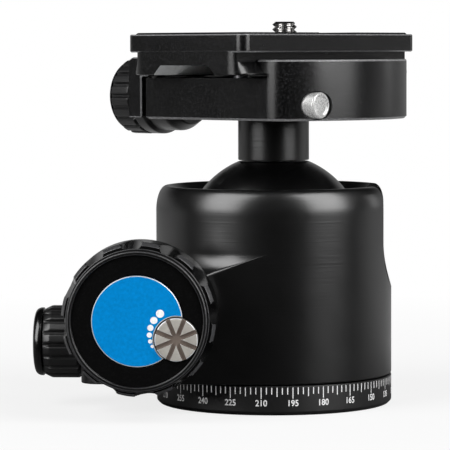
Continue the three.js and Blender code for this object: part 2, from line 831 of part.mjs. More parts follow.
function addPanLock() {
  const screwLength = panKnobGap + panKnobLength - fit;
  const screw = turned(
    [
      [0, -panScrewDepth - panTipLength],
      [panTipRadius, -panScrewDepth - panTipLength],
      [panScrewRadius, -panScrewDepth],
      [panScrewRadius, screwLength - panCapSpigot - fit],
      [0, screwLength - panCapSpigot - fit],
    ],
    smallSides,
  );
  piece(pan, "pan_lock_screw", screw, darkSteel);
  const bore = panScrewRadius + fit;
  piece(pan, "pan_lock_bush", tube(bore, panBushRadius, -panBushLength, 0, smallSides), brass);
  piece(pan, "pan_knob_washer", tube(bore, panWasherRadius, fit, panKnobGap - fit, smallSides), acetal);

  const knobEnd = panKnobGap + panKnobLength;
  const spigot = panCapRadius - panSpigotInset;
  const knob = cut(
    prism(flutedOutline(panKnobRadius, panKnobFlutes), panKnobGap, knobEnd),
    rod(bore, 0, knobEnd + overrun, smallSides),
    rod(spigot + fit, knobEnd - panCapSpigot - fit, knobEnd + overrun, smallSides),
  );
  piece(pan, "pan_knob", knob, blackRubber);
  const capBottom = knobEnd + fit;
  const cap = turned([
    [0, knobEnd - panCapSpigot],
    [spigot, knobEnd - panCapSpigot],
    [spigot, capBottom],
    [panCapRadius, capBottom],
    [panCapRadius, capBottom + panCapLength / 3],
    [panCapEndRadius, capBottom + panCapLength],
    [0, capBottom + panCapLength],
  ]);
  piece(pan, "pan_knob_cap", cap, blackAnodised);

  const shoeBottom = baseHeight + fit;
  const panShoe = rod(panShoeRadius, shoeBottom, panZ - panScrewRadius - panShoeGap, smallSides);
  piece(placed(new THREE.Matrix4().makeTranslation(panShoeX, panY, 0)), "pan_brake_shoe", panShoe, brass);
}

// Clamp body, with its slot, bolt, screw, guide and button bores

function clampOutline() {
  const inner = clampRadius - clampCorner;
  const cornerV = clampHalfLength - clampCorner;
  const cornerU = Math.sqrt(inner ** 2 - cornerV ** 2);
  const meet = Math.atan2(cornerV, cornerU);
  return [
    [clampLeft, -clampHalfLength],
    ...arc(cornerU, -cornerV, clampCorner, -Math.PI / 2, -meet, arcSteps / 2),
    ...arc(0, 0, clampRadius, -meet, meet, 3 * arcSteps).slice(1, -1),
    ...arc(cornerU, cornerV, clampCorner, meet, Math.PI / 2, arcSteps / 2),
    [clampLeft, clampHalfLength],
  ];
}

function along(frame, shape) {
  return shape.applyMatrix4(frame);
}

function addClampBody() {
  const lipLow = clampTop - slotLip;
  const floorU = lipU + lipLow - slotFloor - tailEdge;
  const slot = rail(
    [
      [clampLeft - overrun, slotFloor],
      [floorU, slotFloor],
      [floorU, slotFloor + tailEdge],
      [lipU, lipLow],
      [lipU, clampTop + overrun],
      [clampLeft - overrun, clampTop + overrun],
    ],
    -clampHalfLength - overrun,
    clampHalfLength + overrun,
  );
  const headBottom = slotFloor - fit - boltHeadHeight;
  const guideBores = [-guideV, guideV].flatMap((v) => {
    const frame = facing(0, v, clampScrewZ, leftFacing);
    const pocket = springRadius + springWire + fit;
    return [
      along(frame, rod(guideRadius + fit, -guideTip - overrun, -clampLeft + overrun, smallSides)),
      along(frame, rod(pocket, -clampLeft - springPocket, -clampLeft + overrun, smallSides)),
    ];
  });
  const screwFrame = facing(0, 0, clampScrewZ, leftFacing);
  const body = cut(
    prism(clampOutline(), clampBottom, clampTop),
    slot,
    rod(boltHeadRadius + fit, headBottom - fit, clampTop, smallSides),
    rod(boltRadius + fit, clampBottom - overrun, clampTop, smallSides),
    along(screwFrame, rod(clampScrewRadius + fit, -clampScrewTip - fit, -clampLeft + overrun, smallSides)),
    ...guideBores,
    along(buttonFrame, rod(buttonRadius + fit, buttonSpringSeat, clampRadius + overrun, smallSides)),
    along(buttonFrame, rod(buttonStemRadius + fit, 0, clampRadius, smallSides)),
    rod(stopPinRadius + fit, buttonZ, clampTop, smallSides).translate(stopPinU, buttonV, 0),
  );
  piece(clamp, "clamp_body", body, blackAnodised);

  const boltHead = rod(boltHeadRadius, headBottom, slotFloor - fit, smallSides);
  const boltShank = rod(boltRadius, boltTip, headBottom + overrun, smallSides);
  const key = rod(boltKeyRadius, slotFloor - fit - boltKeyDepth, clampTop, hexSides);
  piece(clamp, "stem_bolt", cut(join(boltHead, boltShank), key), darkSteel);
}

// Moving jaw with its guide pins and opening springs

function addJaw() {
  const flankLow = plateBottom + tailEdge + fit / 2;
  const rootU = -rootHalfWidth - jawClearance;
  const tailU = -tailHalfWidth - jawClearance;
  const jaw = rail(
    [
      [jawOuter, clampBottom + fit],
      [jawInner, clampBottom + fit],
      [jawInner, slotFloor + fit],
      [tailU, slotFloor + fit],
      [tailU, flankLow],
      [rootU, flankLow + rootU - tailU],
      [rootU, jawTop],
      [jawOuter + jawEdge, jawTop],
      [jawOuter, jawTop - jawEdgeDrop],
    ],
    -clampHalfLength,
    clampHalfLength,
  );
  const boreAt = (v, radius) => {
    const bore = rod(radius, -guideTip, -jawOuter + overrun, smallSides);
    return along(facing(0, v, clampScrewZ, leftFacing), bore);
  };
  const guideHoles = [-guideV, guideV].map((v) => boreAt(v, guideRadius + fit));
  piece(clamp, "moving_jaw", cut(jaw, ...guideHoles, boreAt(0, clampScrewRadius + fit)), blackAnodised);
  [-guideV, guideV].forEach((v, i) => {
    const guide = placed(facing(0, v, clampScrewZ, leftFacing), clamp);
    const pin = rod(guideRadius, -guideTip, -jawOuter - fit, smallSides);
    piece(guide, `jaw_guide_pin_${i + 1}`, pin, brightSteel);
    const spring = coil(springRadius, -clampLeft - springPocket + fit, -jawInner - fit);
    piece(guide, `jaw_spring_${i + 1}`, spring, brightSteel);
  });
}

// Clamp screw, its washer, collar, fluted grip and cap

function addClampKnob() {
  const washerTop = fit + clampWasherThickness;
  const screwBore = clampScrewRadius + fit;
  const washer = tube(screwBore, clampWasherRadius, fit, washerTop, smallSides);
  piece(clampScrew, "clamp_knob_washer", washer, acetal);
  const hubBottom = washerTop + fit;
  const hubTopAt = hubBottom + hubLength;
  const collarTop = hubTopAt + collarLength;
  const gripBottom = collarTop + fit;
  const gripTop = gripBottom + clampKnobLength;
  const hubSide = collarRadius - collarChamfer;
  const collar = turned([
    [0, gripTop - 2 * fit],
    [screwBore, gripTop - 2 * fit],
    [screwBore, hubBottom],
    [hubTipRadius, hubBottom],
    [hubSide, hubBottom + hubTaper],
    [hubSide, hubTopAt - collarChamfer],
    [collarRadius, hubTopAt],
    [collarRadius, collarTop],
    [spigotRadius, collarTop],
    [spigotRadius, gripTop],
    [0, gripTop],
  ]);
  piece(clampScrew, "clamp_knob_collar", collar, blackAnodised);
  const grip = cut(
    prism(flutedOutline(clampKnobRadius, clampKnobFlutes), gripBottom, gripTop),
    rod(spigotRadius + fit, 0, gripTop + overrun, smallSides),
  );
  piece(clampScrew, "clamp_knob_grip", grip, blackRubber);
  const capBottom = gripTop + fit;
  const cap = turned([
    [0, capBottom],
    [clampCapRadius, capBottom],
    [clampCapRadius - clampCapLength, capBottom + clampCapLength],
    [0, capBottom + clampCapLength],
  ]);
  piece(clampScrew, "clamp_knob_cap", cap, blackAnodised);
  const screw = rod(clampScrewRadius, -(clampScrewTip - jawOuter), gripTop - 3 * fit, smallSides);
  piece(clampScrew, "clamp_screw", screw, darkSteel);
}

// Safety button, its spring and the stop pin that it draws down

function addSafetyButton() {
  const barrelStart = buttonEnd - buttonLength;
  const body = turned(
    [
      [0, buttonStemEnd],
      [buttonStemRadius, buttonStemEnd],
      [buttonStemRadius, barrelStart],
      [buttonRadius, barrelStart],
      [buttonRadius, buttonEnd - smallEdge],
      [buttonRadius - smallEdge, buttonEnd],
      [0, buttonEnd],
    ],
    smallSides,
  );
  piece(button, "safety_button", body, brightSteel);
  const spring = coil(buttonSpringRadius, buttonSpringSeat + fit, barrelStart - fit);
  piece(button, "button_spring", spring, brightSteel);
  const pinPlace = placed(new THREE.Matrix4().makeTranslation(stopPinU, buttonV, 0), clamp);
  piece(pinPlace, "stop_pin", rod(stopPinRadius, stopPinBottom, stopPinTop, smallSides), brightSteel);
}

// Dovetail plate with its pads and camera screw

function addPlate() {
  const flange = prism(
    roundedOutline(-plateHalfWidth, plateHalfWidth, -plateHalfLength, plateHalfLength, plateCorner),
    flangeBottom,
    plateTop,
  );
  const flankTop = plateBottom + tailEdge + dovetailInset;
  const halfTail = [
    [tailHalfWidth, plateBottom],
    [tailHalfWidth, plateBottom + tailEdge],
    [rootHalfWidth, flankTop],
    [rootHalfWidth, flangeBottom + fit],
  ];
  const otherHalf = halfTail.map(([u, z]) => [-u, z]).reverse();
  const tail = common(
    rail([...halfTail, ...otherHalf], -plateHalfLength - overrun, plateHalfLength + overrun),
    prism(
      roundedOutline(-tailHalfWidth, tailHalfWidth, -plateHalfLength, plateHalfLength, tailCorner),
      plateBottom - overrun,
      plateTop,
    ),
  );
  const channel = rail(
    [
      [-channelHalfWidth, plateBottom - overrun],
      [channelHalfWidth, plateBottom - overrun],
      [channelHalfWidth, plateBottom],
      [channelHalfWidth - channelTaper, plateBottom + channelDepth],
      [-channelHalfWidth + channelTaper, plateBottom + channelDepth],
      [-channelHalfWidth, plateBottom],
    ],
    -plateHalfLength - overrun,
    plateHalfLength + overrun,
  );
  const padFloor = plateTop + padProud - padThickness;
  const padU = plateHalfWidth - padInset;
  const padEnd = plateHalfLength - padInset;
  const padSpans = [
    ["rubber_pad_front", -padEnd, screwV - padGap / 2],
    ["rubber_pad_back", screwV + padGap / 2, padEnd],
  ];
  const padOutline = (low, high, grow) =>
    roundedOutline(-padU - grow, padU + grow, low - grow, high + grow, smallEdge + grow);
  const clipInner = screwRadius + fit;
  const clipRecess = clipInner + clipWidth + fit;
  const clipBottom = plateTop - fit - clipThickness;
  const screwHoles = [
    rod(screwHeadRadius + fit, plateBottom - overrun, plateBottom + screwPocket, smallSides),
    rod(screwRadius + fit, plateBottom, plateTop + overrun, smallSides),
    rod(clipRecess, clipBottom - fit, plateTop + overrun, smallSides),
  ].map((hole) => hole.translate(0, screwV, 0));
  const padPockets = padSpans.map(([, low, high]) =>
    prism(padOutline(low, high, fit), padFloor - fit, plateTop + overrun),
  );
  const body = cut(join(flange, tail), channel, ...screwHoles, ...padPockets);
  piece(clamp, "dovetail_plate", body, blackAnodised);
  for (const [name, low, high] of padSpans)
    piece(clamp, name, prism(padOutline(low, high, 0), padFloor, plateTop + padProud), blackRubber);

  const screwPlace = placed(new THREE.Matrix4().makeTranslation(0, screwV, 0), clamp);
  const clip = tube(clipInner, clipInner + clipWidth, clipBottom, clipBottom + clipThickness, smallSides);
  piece(screwPlace, "screw_clip", clip, darkSteel);
  const headTop = plateBottom + screwPocket - fit;
  const slotReach = screwHeadRadius + overrun;
  const screw = cut(
    turned(
      [
        [0, headTop - screwHeadHeight],
        [screwHeadRadius, headTop - screwHeadHeight],
        [screwHeadRadius, headTop],
        [screwRadius, headTop],
        [screwRadius, screwTip - screwTaper],
        [screwRadius - screwTaper, screwTip],
        [0, screwTip],
      ],
      smallSides,
    ),
    prism(
      roundedOutline(-slotReach, slotReach, -screwSlot / 2, screwSlot / 2, smallEdge),
      headTop - screwHeadHeight - overrun,
      headTop - screwHeadHeight / 2,
    ),
  );
  piece(screwPlace, "camera_screw", screw, brightSteel);
}

addBase();
addHousing();
addBall();
addBallLock();
addLockKnob();
addPanLock();
addClampBody();
addJaw();
addClampKnob();
addSafetyButton();
addPlate();

// The group's origin is the middle of the underside of the part's box
head.updateMatrixWorld(true);
const bounds = new THREE.Box3().setFromObject(head, true);
const middle = bounds.getCenter(new THREE.Vector3());
head.position.set(-middle.x, -middle.y, -bounds.min.z);

const part = new THREE.Group();
part.add(head);
export default part;
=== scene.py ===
"""A tripod ball head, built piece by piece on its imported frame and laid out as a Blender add-on."""

import json
import math

import bmesh
import bpy
import numpy as np
from bpy.props import FloatProperty, FloatVectorProperty, IntProperty, PointerProperty
from mathutils import Matrix, Vector


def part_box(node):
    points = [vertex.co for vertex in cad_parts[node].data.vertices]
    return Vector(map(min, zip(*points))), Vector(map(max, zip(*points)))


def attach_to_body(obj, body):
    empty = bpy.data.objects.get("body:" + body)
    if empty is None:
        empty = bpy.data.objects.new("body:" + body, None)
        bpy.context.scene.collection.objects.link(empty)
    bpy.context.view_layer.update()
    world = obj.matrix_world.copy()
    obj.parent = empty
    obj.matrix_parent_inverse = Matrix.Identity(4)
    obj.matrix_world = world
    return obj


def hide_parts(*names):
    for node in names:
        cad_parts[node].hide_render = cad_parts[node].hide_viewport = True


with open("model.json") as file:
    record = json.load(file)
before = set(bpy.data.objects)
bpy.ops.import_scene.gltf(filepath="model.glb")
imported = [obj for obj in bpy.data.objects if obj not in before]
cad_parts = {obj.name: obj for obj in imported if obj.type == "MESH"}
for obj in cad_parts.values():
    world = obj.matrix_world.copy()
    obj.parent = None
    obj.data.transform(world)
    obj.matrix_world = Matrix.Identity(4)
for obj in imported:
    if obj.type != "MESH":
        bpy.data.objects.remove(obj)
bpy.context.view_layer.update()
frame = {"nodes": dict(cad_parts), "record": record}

bl_info = {
    "name": "Tripod ball head",
    "version": (1, 0, 0),
    "blender": (4, 5, 0),
    "location": "3D view > Sidebar > Ball head",
    "description": "Builds a tripod ball head with a dovetail clamp, and a studio to show it in",
    "category": "Object",
}

MM = 0.001
MERGE = 1e-7  # metres between points that become one
CLEARANCE = 0.3  # millimetres round a piece in its bore or pocket
PAST = 1.0  # millimetres that a cutter runs past what it cuts
UP = Vector((0, 0, 1))
QUARTER = math.pi / 2
TURN = 2 * math.pi


# Places on the frame, each with its own directions


def middle(node):
    low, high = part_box(node)
    return (low + high) / 2


def joint_axis(name):
    joints = frame["record"]["behaviour"]["joints"]
    return Vector(next(joint["axis"] for joint in joints if joint["name"] == name))


def facing(origin, outwards):
    """A place whose Z points outwards and whose Y points up."""
    across = UP.cross(outwards).normalized()
    place = Matrix((across, outwards.cross(across), outwards)).transposed().to_4x4()
    place.translation = origin
    return place


def moved(place, x, y):
    """A place moved by millimetres in its own X and Y."""
    return place @ Matrix.Translation(Vector((x, y, 0)) * MM)


def reach(node, place):
    """Lowest and highest corner of a frame node in a place's directions, in millimetres."""
    inwards = place.inverted()
    points = np.array([inwards @ v.co for v in frame["nodes"][node].data.vertices])
    return points.min(0) / MM, points.max(0) / MM


def round_reach(node, place):
    """Radius, back and front of a round frame node in a place's directions, in millimetres."""
    low, high = reach(node, place)
    return high[0], low[2], high[2]


def centre_of(node, place):
    low, high = reach(node, place)
    return (low + high) / 2


AXIS = middle("pan_base")
AXIS.z = 0
ALONG = joint_axis("plate_slide")
ACROSS = ALONG.cross(UP)
BODY_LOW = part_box("housing")[0]
CORE, CAP = middle("main_knob_core"), middle("pan_knob_cap")

BASE = Matrix.Translation(AXIS)
CLAMP = Matrix((ACROSS, ALONG, UP)).transposed().to_4x4()
CLAMP.translation = AXIS
LOCK = facing(Vector((CORE.x, BODY_LOW.y, CORE.z)), Vector((0, -1, 0)))
PAN = facing(Vector((BODY_LOW.x, CAP.y, CAP.z)), Vector((-1, 0, 0)))
JAW_LOW, JAW_HIGH = reach("moving_jaw", CLAMP)
SCREW_HEIGHT = middle("clamp_knob_cap").z / MM
CLAMP_SCREW = facing(CLAMP @ (Vector((JAW_LOW[0], 0, SCREW_HEIGHT)) * MM), -ACROSS)
_, BUTTON_V, BUTTON_Z = centre_of("safety_button", CLAMP)
BUTTON = facing(CLAMP @ (Vector((0, BUTTON_V, BUTTON_Z)) * MM), ACROSS)
STOP_PIN = moved(CLAMP, centre_of("stop_pin", CLAMP)[0], BUTTON_V)
SCREW_LOW, SCREW_HIGH = reach("camera_screw", CLAMP)
CAMERA_SCREW = moved(CLAMP, 0, (SCREW_LOW[1] + SCREW_HIGH[1]) / 2)
DIAL_LOW, DIAL_HIGH = reach("friction_dial", LOCK)
DIAL_X, DIAL_Y, _ = centre_of("friction_dial", LOCK)
DIAL = moved(LOCK, DIAL_X, DIAL_Y)


# Sizes and colours that a user can change


def length(name, description, millimetres):
    return FloatProperty(
        name=name,
        description=description,
        default=float(millimetres) * MM,
        min=0,
        precision=5,
        subtype="DISTANCE",
        unit="LENGTH",
    )


def angle(name, description, degrees):
    turn = math.radians(degrees)
    return FloatProperty(
        name=name, description=description, default=turn, subtype="ANGLE", unit="ROTATION"
    )


def count(name, description, default):
    return IntProperty(name=name, description=description, default=default, min=1)


def power(name, description, watts):
    return FloatProperty(name=name, description=description, default=watts, unit="POWER")


def colour(name, description, default):
    return FloatVectorProperty(
        name=name, description=description, default=default, size=3, min=0, max=1, subtype="COLOR"
    )


class HousingSizes(bpy.types.PropertyGroup):
    rim_in: length("Rim rounding inwards", "How far the rim's rounding runs in", 2.5)
    rim_down: length("Rim rounding downwards", "How far the rim's rounding runs down", 5.9)
    mouth: length("Mouth radius", "Inner radius of the rim's crest", 25.2)
    lip: length("Lip radius", "Inner radius of the lip over the seat ring", 21.3)
    bore: length("Bore radius", "Radius of the bore that holds the seats", 23.3)
    boss_top: length("Boss top", "Height of the lock boss's flat top", 32.5)
    boss_corner: length("Boss corner", "Radius of the boss's upright corners", 4)
    boss_fillet: length("Boss fillet", "Radius between the boss's top and the wall", 5.4)
    boss_edge: length("Boss edge", "Rounding of the boss's upper edge", 1.4)
    notch: length("Drop notch", "Half the width of the drop notch", 9.5)
    notch_edge: length("Notch edge", "Rounding of the drop notch's outer edge", 1)


class BaseSizes(bpy.types.PropertyGroup):
    ring: length("Ring height", "Height of the graduated ring", 7)
    short_tick: length("Short tick", "Length of most of the scale's ticks", 1.6)
    middle_tick: length("Middle tick", "Length of every third tick", 2.1)
    long_tick: length("Long tick", "Length of the tick over each number", 2.6)
    tick_width: length("Tick width", "Width of the scale's ticks", 0.22)
    digit: length("Digit height", "Height of the scale's numbers", 1.5)
    digit_middle: length("Digit place", "Height of the middle of the numbers", 3.0)
    numbers: count("Numbers", "How many numbers the scale has all round", 24)
    ticks: count("Ticks", "How many ticks there are from one number to the next", 6)
    start: angle("Scale start", "Where zero stands, from the lock knob's side", 206.1)


class KnobSizes(bpy.types.PropertyGroup):
    pads: count("Grip pads", "How many pads the lock knob's grip has", 12)
    pad_turn: angle("Pad turn", "How far the first pad is turned", -10)
    scoop: length("Scoop radius", "Radius of the hollows between the pads", 3.0)
    scoop_front: length("Scoop depth", "Depth of each hollow at the grip's front", 2.1)
    scoop_back: length("Scoop run-out", "How far the hollow's cut clears the grip at its back", 0.5)
    dots: count("Dots", "How many dots run round the friction dial", 6)
    first_dot: length("First dot", "Radius of the largest dot", 0.93)
    last_dot: length("Last dot", "Radius of the smallest dot", 0.38)
    rays: count("Dial grooves", "How many grooves cross the friction dial", 4)
    pan_ribs: count("Pan knob ribs", "How many ribs the pan knob has", 18)
    clamp_ribs: count("Clamp knob ribs", "How many ribs the clamp knob has", 20)
    rib_depth: length("Rib depth", "Depth between the ribs of both small knobs", 0.75)


class ClampSizes(bpy.types.PropertyGroup):
    edge: length("Clamp edge", "Chamfer along the clamp's edges", 0.55)
    corner: length("Clamp corner", "Radius of the clamp's upright corners", 6)
    plate_edge: length("Plate edge", "Chamfer along the plate's edges", 0.3)
    plate_corner: length("Plate corner", "Radius of the plate's corners", 2.5)
    pad_pitch: length("Pad rib pitch", "Distance between the rubber pads' ribs", 1.9)
    thread_pitch: length("Thread pitch", "Pitch of the camera screw's thread", 1.27)


class Colours(bpy.types.PropertyGroup):
    anodised: colour("Anodised black", "Satin black anodising", (0.0015, 0.0015, 0.0016))
    rubber: colour("Rubber black", "Moulded black grips", (0.002, 0.002, 0.0021))
    blue: colour("Blue", "Blue anodising of the face plate", (0.0, 0.19, 0.5))
    steel: colour("Steel", "Bright turned steel", (0.62, 0.61, 0.6))
    dark_steel: colour("Dark steel", "Dull machined steel", (0.24, 0.24, 0.25))
    groove: colour("Dial groove", "Floor of the dial's grooves", (0.19, 0.15, 0.125))
    paint: colour("White paint", "Scale and dots", (0.8, 0.8, 0.8))
    brass: colour("Brass", "Bushes and brake shoes", (0.62, 0.45, 0.18))
    acetal: colour("Acetal", "Washers and seats", (0.72, 0.71, 0.67))


class StageSettings(bpy.types.PropertyGroup):
    azimuth: angle("Camera azimuth", "Where the camera stands round the turning axis", 2.2)
    distance: length("Camera distance", "From the turning axis to the camera", 681.25)
    height: length("Camera height", "Height of the camera", 85.55)
    pan: angle("Camera pan", "How far the camera looks left of the turning axis", 0.995)
    tilt: angle("Camera tilt", "How far the camera looks down", 3.576)
    roll: angle("Camera roll", "How far the camera is rolled", -0.185)
    lens: FloatProperty(name="Lens", description="Focal length", default=224.9, unit="CAMERA")
    left_light: power("Left light", "Power of the left lamp", 10.8)
    right_light: power("Right light", "Power of the right lamp", 11.6)
    back_light: power("Back light", "Power of the back lamp", 0.35)
    floor: colour("Floor", "Colour of the pale floor", (0.82, 0.82, 0.82))


class BallHeadSettings(bpy.types.PropertyGroup):
    housing: PointerProperty(type=HousingSizes)
    base: PointerProperty(type=BaseSizes)
    knobs: PointerProperty(type=KnobSizes)
    clamp: PointerProperty(type=ClampSizes)
    colours: PointerProperty(type=Colours)
    stage: PointerProperty(type=StageSettings)


def settings():
    return bpy.context.scene.ball_head


# Outlines and skins, all in millimetres


def arc(x, y, radius, start, end, steps):
    turns = np.linspace(start, end, steps + 1)
    return [(x + radius * math.cos(t), y + radius * math.sin(t)) for t in turns]


def soften(points, size, closed=True, steps=3):
    """Rounds every corner of an outline by up to size, which may be one value for each corner."""
    sizes = size if hasattr(size, "__len__") else [size] * len(points)
    corners = [Vector(p) for p in points]
    out = []
    for i, corner in enumerate(corners):
        at_end = not closed and i in (0, len(corners) - 1)
        if at_end or sizes[i] == 0:
            out.append(tuple(corner))
            continue
        before, after = corners[i - 1] - corner, corners[(i + 1) % len(corners)] - corner
        run = min(sizes[i], 0.45 * before.length, 0.45 * after.length)
        start, end = corner + before.normalized() * run, corner + after.normalized() * run
        for k in range(steps + 1):
            t = k / steps
            out.append(tuple(start * (1 - t) ** 2 + corner * 2 * t * (1 - t) + end * t**2))
    return out


def box_outline(low, high, corner, steps, inset=0.0):
    """A rectangle with round corners, anticlockwise, drawn in by an inset."""
    left, front, right, back = low[0] + inset, low[1] + inset, high[0] - inset, high[1] - inset
    radius = corner - inset
    return [
        *arc(left + radius, front + radius, radius, -2 * QUARTER, -QUARTER, steps),
        *arc(right - radius, front + radius, radius, -QUARTER, 0, steps),
        *arc(right - radius, back - radius, radius, 0, QUARTER, steps),
        *arc(left + radius, back - radius, radius, QUARTER, 2 * QUARTER, steps),
    ]


def skin(rows, ring=False):
    """Points and faces over rows that run all the way round. A ring joins its last to its first."""
    rows = np.asarray(rows, float)
    levels, around = rows.shape[:2]
    faces = []
    for i in range(levels if ring else levels - 1):
        here, above = i * around, (i + 1) % levels * around
        for j in range(around):
            k = (j + 1) % around
            faces.append((here + j, here + k, above + k, above + j))
    if not ring:
        faces.append(tuple(reversed(range(around))))
        faces.append(tuple(range((levels - 1) * around, levels * around)))
    return rows.reshape(-1, 3), faces


def turned(profile, sides=160):
    """Turns (radius, height) points about Z. A start off the axis closes the profile on itself."""
    turns = np.linspace(0, TURN, sides, endpoint=False)
    rows = [[(r * math.cos(t), r * math.sin(t), h) for t in turns] for r, h in profile]
    return skin(rows, ring=profile[0][0] > 0)


def lathed(points, sides=160, closed=False, steps=3):
    """Turns (radius, height, rounding) points about Z."""
    profile, rounding = [point[:2] for point in points], [point[2] for point in points]
    return turned(soften(profile, rounding, closed, steps), sides)


def rod(radius, low, high, sides=64, edge=0.0):
    profile = [(0, low), (radius, low), (radius, high), (0, high)]
    return turned(soften(profile, edge, closed=False) if edge else profile, sides)


def stack(levels):
    """A skin over (height, outline) levels."""
    return skin([[(x, y, height) for x, y in outline] for height, outline in levels])


def prism(outline, low, high):
    return stack([(low, outline), (high, outline)])


def rail(profile, low, high):
    """Runs an outline of (u, z) points along V."""
    return skin([[(u, v, z) for u, z in profile] for v in (low, high)])


def ridge(turn, width, flank):
    """A trapezoid of height 1 about turn 0.5: width is its top and flank each of its sides."""
    away = np.abs(turn - 0.5)
    return np.clip((width / 2 + flank - away) / flank, 0, 1)


def ring_row(radius, height, sides=72):
    """A row of points round Z. Its radius may be an array, with a value for each point."""
    turns = np.linspace(0, TURN, sides, endpoint=False)
    return np.column_stack([radius * np.cos(turns), radius * np.sin(turns), np.full(sides, height)])


def ring_rows(*profile):
    return [ring_row(radius, height) for radius, height in profile]


def threaded(minor, major, pitch, low, high, limit=lambda height: math.inf):
    """Rows of a screw thread's surface. limit gives the largest radius at a height."""
    sides, rows_per_pitch, crest, flank = 72, 14, 0.14, 0.36
    turns = np.linspace(0, TURN, sides, endpoint=False)
    rows = []
    for height in np.linspace(low, high, max(2, round((high - low) / pitch * rows_per_pitch))):
        place = (height / pitch - turns / TURN) % 1
        radius = minor + (major - minor) * ridge(place, crest, flank)
        rows.append(ring_row(np.minimum(radius, limit(height)), height, sides))
    return rows


# Pieces


def show(name, data, place=Matrix()):
    piece = bpy.data.objects.new(name, data)
    piece.matrix_world = place
    bpy.context.scene.collection.objects.link(piece)
    return piece


def make(name, shape, place, *finishes):
    """A new object from points and faces in a place's millimetres, with finishes by name."""
    points, faces = shape
    mesh = bpy.data.meshes.new(name)
    mesh.from_pydata(np.asarray(points) * MM, [], faces)
    work = bmesh.new()
    work.from_mesh(mesh)
    bmesh.ops.remove_doubles(work, verts=work.verts, dist=MERGE)
    bmesh.ops.dissolve_degenerate(work, edges=work.edges, dist=MERGE)
    bmesh.ops.recalc_face_normals(work, faces=work.faces)
    work.to_mesh(mesh)
    work.free()
    for each in finishes:
        mesh.materials.append(finish(each))
    return show(name, mesh, place)


def evaluated_mesh(piece):
    bpy.context.view_layer.update()
    graph = bpy.context.evaluated_depsgraph_get()
    return bpy.data.meshes.new_from_object(piece.evaluated_get(graph), depsgraph=graph)


def settle(piece):
    """Makes a piece's modifiers part of its mesh."""
    mesh = evaluated_mesh(piece)
    piece.modifiers.clear()
    piece.data = mesh


def combine(piece, others, operation="DIFFERENCE"):
    for other in others:
        change = piece.modifiers.new("cut", "BOOLEAN")
        change.operation = operation
        change.solver = "EXACT"
        change.object = other
        change.material_mode = "TRANSFER"
    settle(piece)
    for other in others:
        bpy.data.objects.remove(other)


def cutter(shape, place, *finishes):
    return make("cutter", shape, place, *finishes)


def bore(radius, low, high, place, *finishes, sides=64):
    return cutter(rod(radius, low, high, sides), place, *finishes)


def chamfer(piece, width, limit):
    change = piece.modifiers.new("edge", "BEVEL")
    change.width = width * MM
    change.segments = 1
    change.limit_method = "ANGLE"
    change.angle_limit = math.radians(limit)
    change.harden_normals = False
    settle(piece)


def paint_faces(piece, slot, wanted):
    """Gives the faces that pass a test, of their normal and middle in millimetres, a finish."""
    for face in piece.data.polygons:
        if wanted(face.normal, face.center / MM):
            face.material_index = slot


def level(piece):
    """Turns an upright piece's mesh into the frame's directions, so that its box fits closely."""
    place = piece.matrix_world.copy()
    if place.col[2].xyz.dot(UP) > 1 - MERGE:
        piece.data.transform(place.to_3x3().to_4x4())
        piece.matrix_world = Matrix.Translation(place.translation)


def polish(piece, sharp):
    """Smooth shading that keeps crisp edges and flat faces."""
    piece.data.shade_smooth()
    piece.data.set_sharp_from_angle(angle=math.radians(sharp))
    change = piece.modifiers.new("normals", "WEIGHTED_NORMAL")
    change.keep_sharp = True
    change.weight = 80
    settle(piece)


def attach(piece, body, slot, *nodes):
    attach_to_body(piece, body)
    if nodes:
        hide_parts(*nodes)


def finished(piece, body, slot, *nodes, sharp=32):
    level(piece)
    polish(piece, sharp)
    attach(piece, body, slot, *nodes)


# Finishes


def add(tree, kind, inputs=None, **values):
    """A new node with its values and inputs set. An input may be a value or another's output."""
    node = tree.nodes.new(kind)
    for key, value in values.items():
        setattr(node, key, value)
    feed(tree, node, inputs or {})
    return node


def feed(tree, node, inputs):
    for key, value in inputs.items():
        if isinstance(value, bpy.types.NodeSocket):
            tree.links.new(value, node.inputs[key])
        else:
            node.inputs[key].default_value = value


def blank(name, metallic, index, tint, roughness):
    material = bpy.data.materials.new(name)
    material.use_nodes = True
    tree = material.node_tree
    shader = tree.nodes["Principled BSDF"]
    feed(tree, shader, {"Base Color": (*tint, 1), "Metallic": metallic})
    feed(tree, shader, {"IOR": index, "Roughness": roughness})
    return material, tree, shader


def surface_point(tree):
    return add(tree, "ShaderNodeTexCoord").outputs["Object"]


def split_point(tree):
    return add(tree, "ShaderNodeSeparateXYZ", {0: surface_point(tree)}).outputs


def turned_point(tree):
    """Distance from the piece's own axis, and height along it: constant round the axis."""
    at = split_point(tree)
    flat = add(tree, "ShaderNodeCombineXYZ", {"X": at["X"], "Y": at["Y"]})
    out = add(tree, "ShaderNodeVectorMath", {0: flat.outputs[0]}, operation="LENGTH")
    return add(tree, "ShaderNodeCombineXYZ", {"X": out.outputs["Value"], "Y": at["Z"]}).outputs[0]


def noise(tree, point, scale, detail):
    inputs = {"Scale": scale, "Detail": detail, "Roughness": 0.6, "Vector": point}
    return add(tree, "ShaderNodeTexNoise", inputs).outputs["Fac"]


def ranged(tree, value, low, high, start=0.3, end=0.7):
    inputs = {"From Min": start, "From Max": end, "To Min": low, "To Max": high, "Value": value}
    return add(tree, "ShaderNodeMapRange", inputs).outputs["Result"]


def tinted(tree, value, dark, light, start=0.3, end=0.7):
    """A colour between two, by a value."""
    node = add(tree, "ShaderNodeValToRGB", {"Fac": value})
    for element, place, tint in zip(node.color_ramp.elements, (start, end), (dark, light)):
        element.position = place
        element.color = (*tint, 1)
    return node.outputs["Color"]


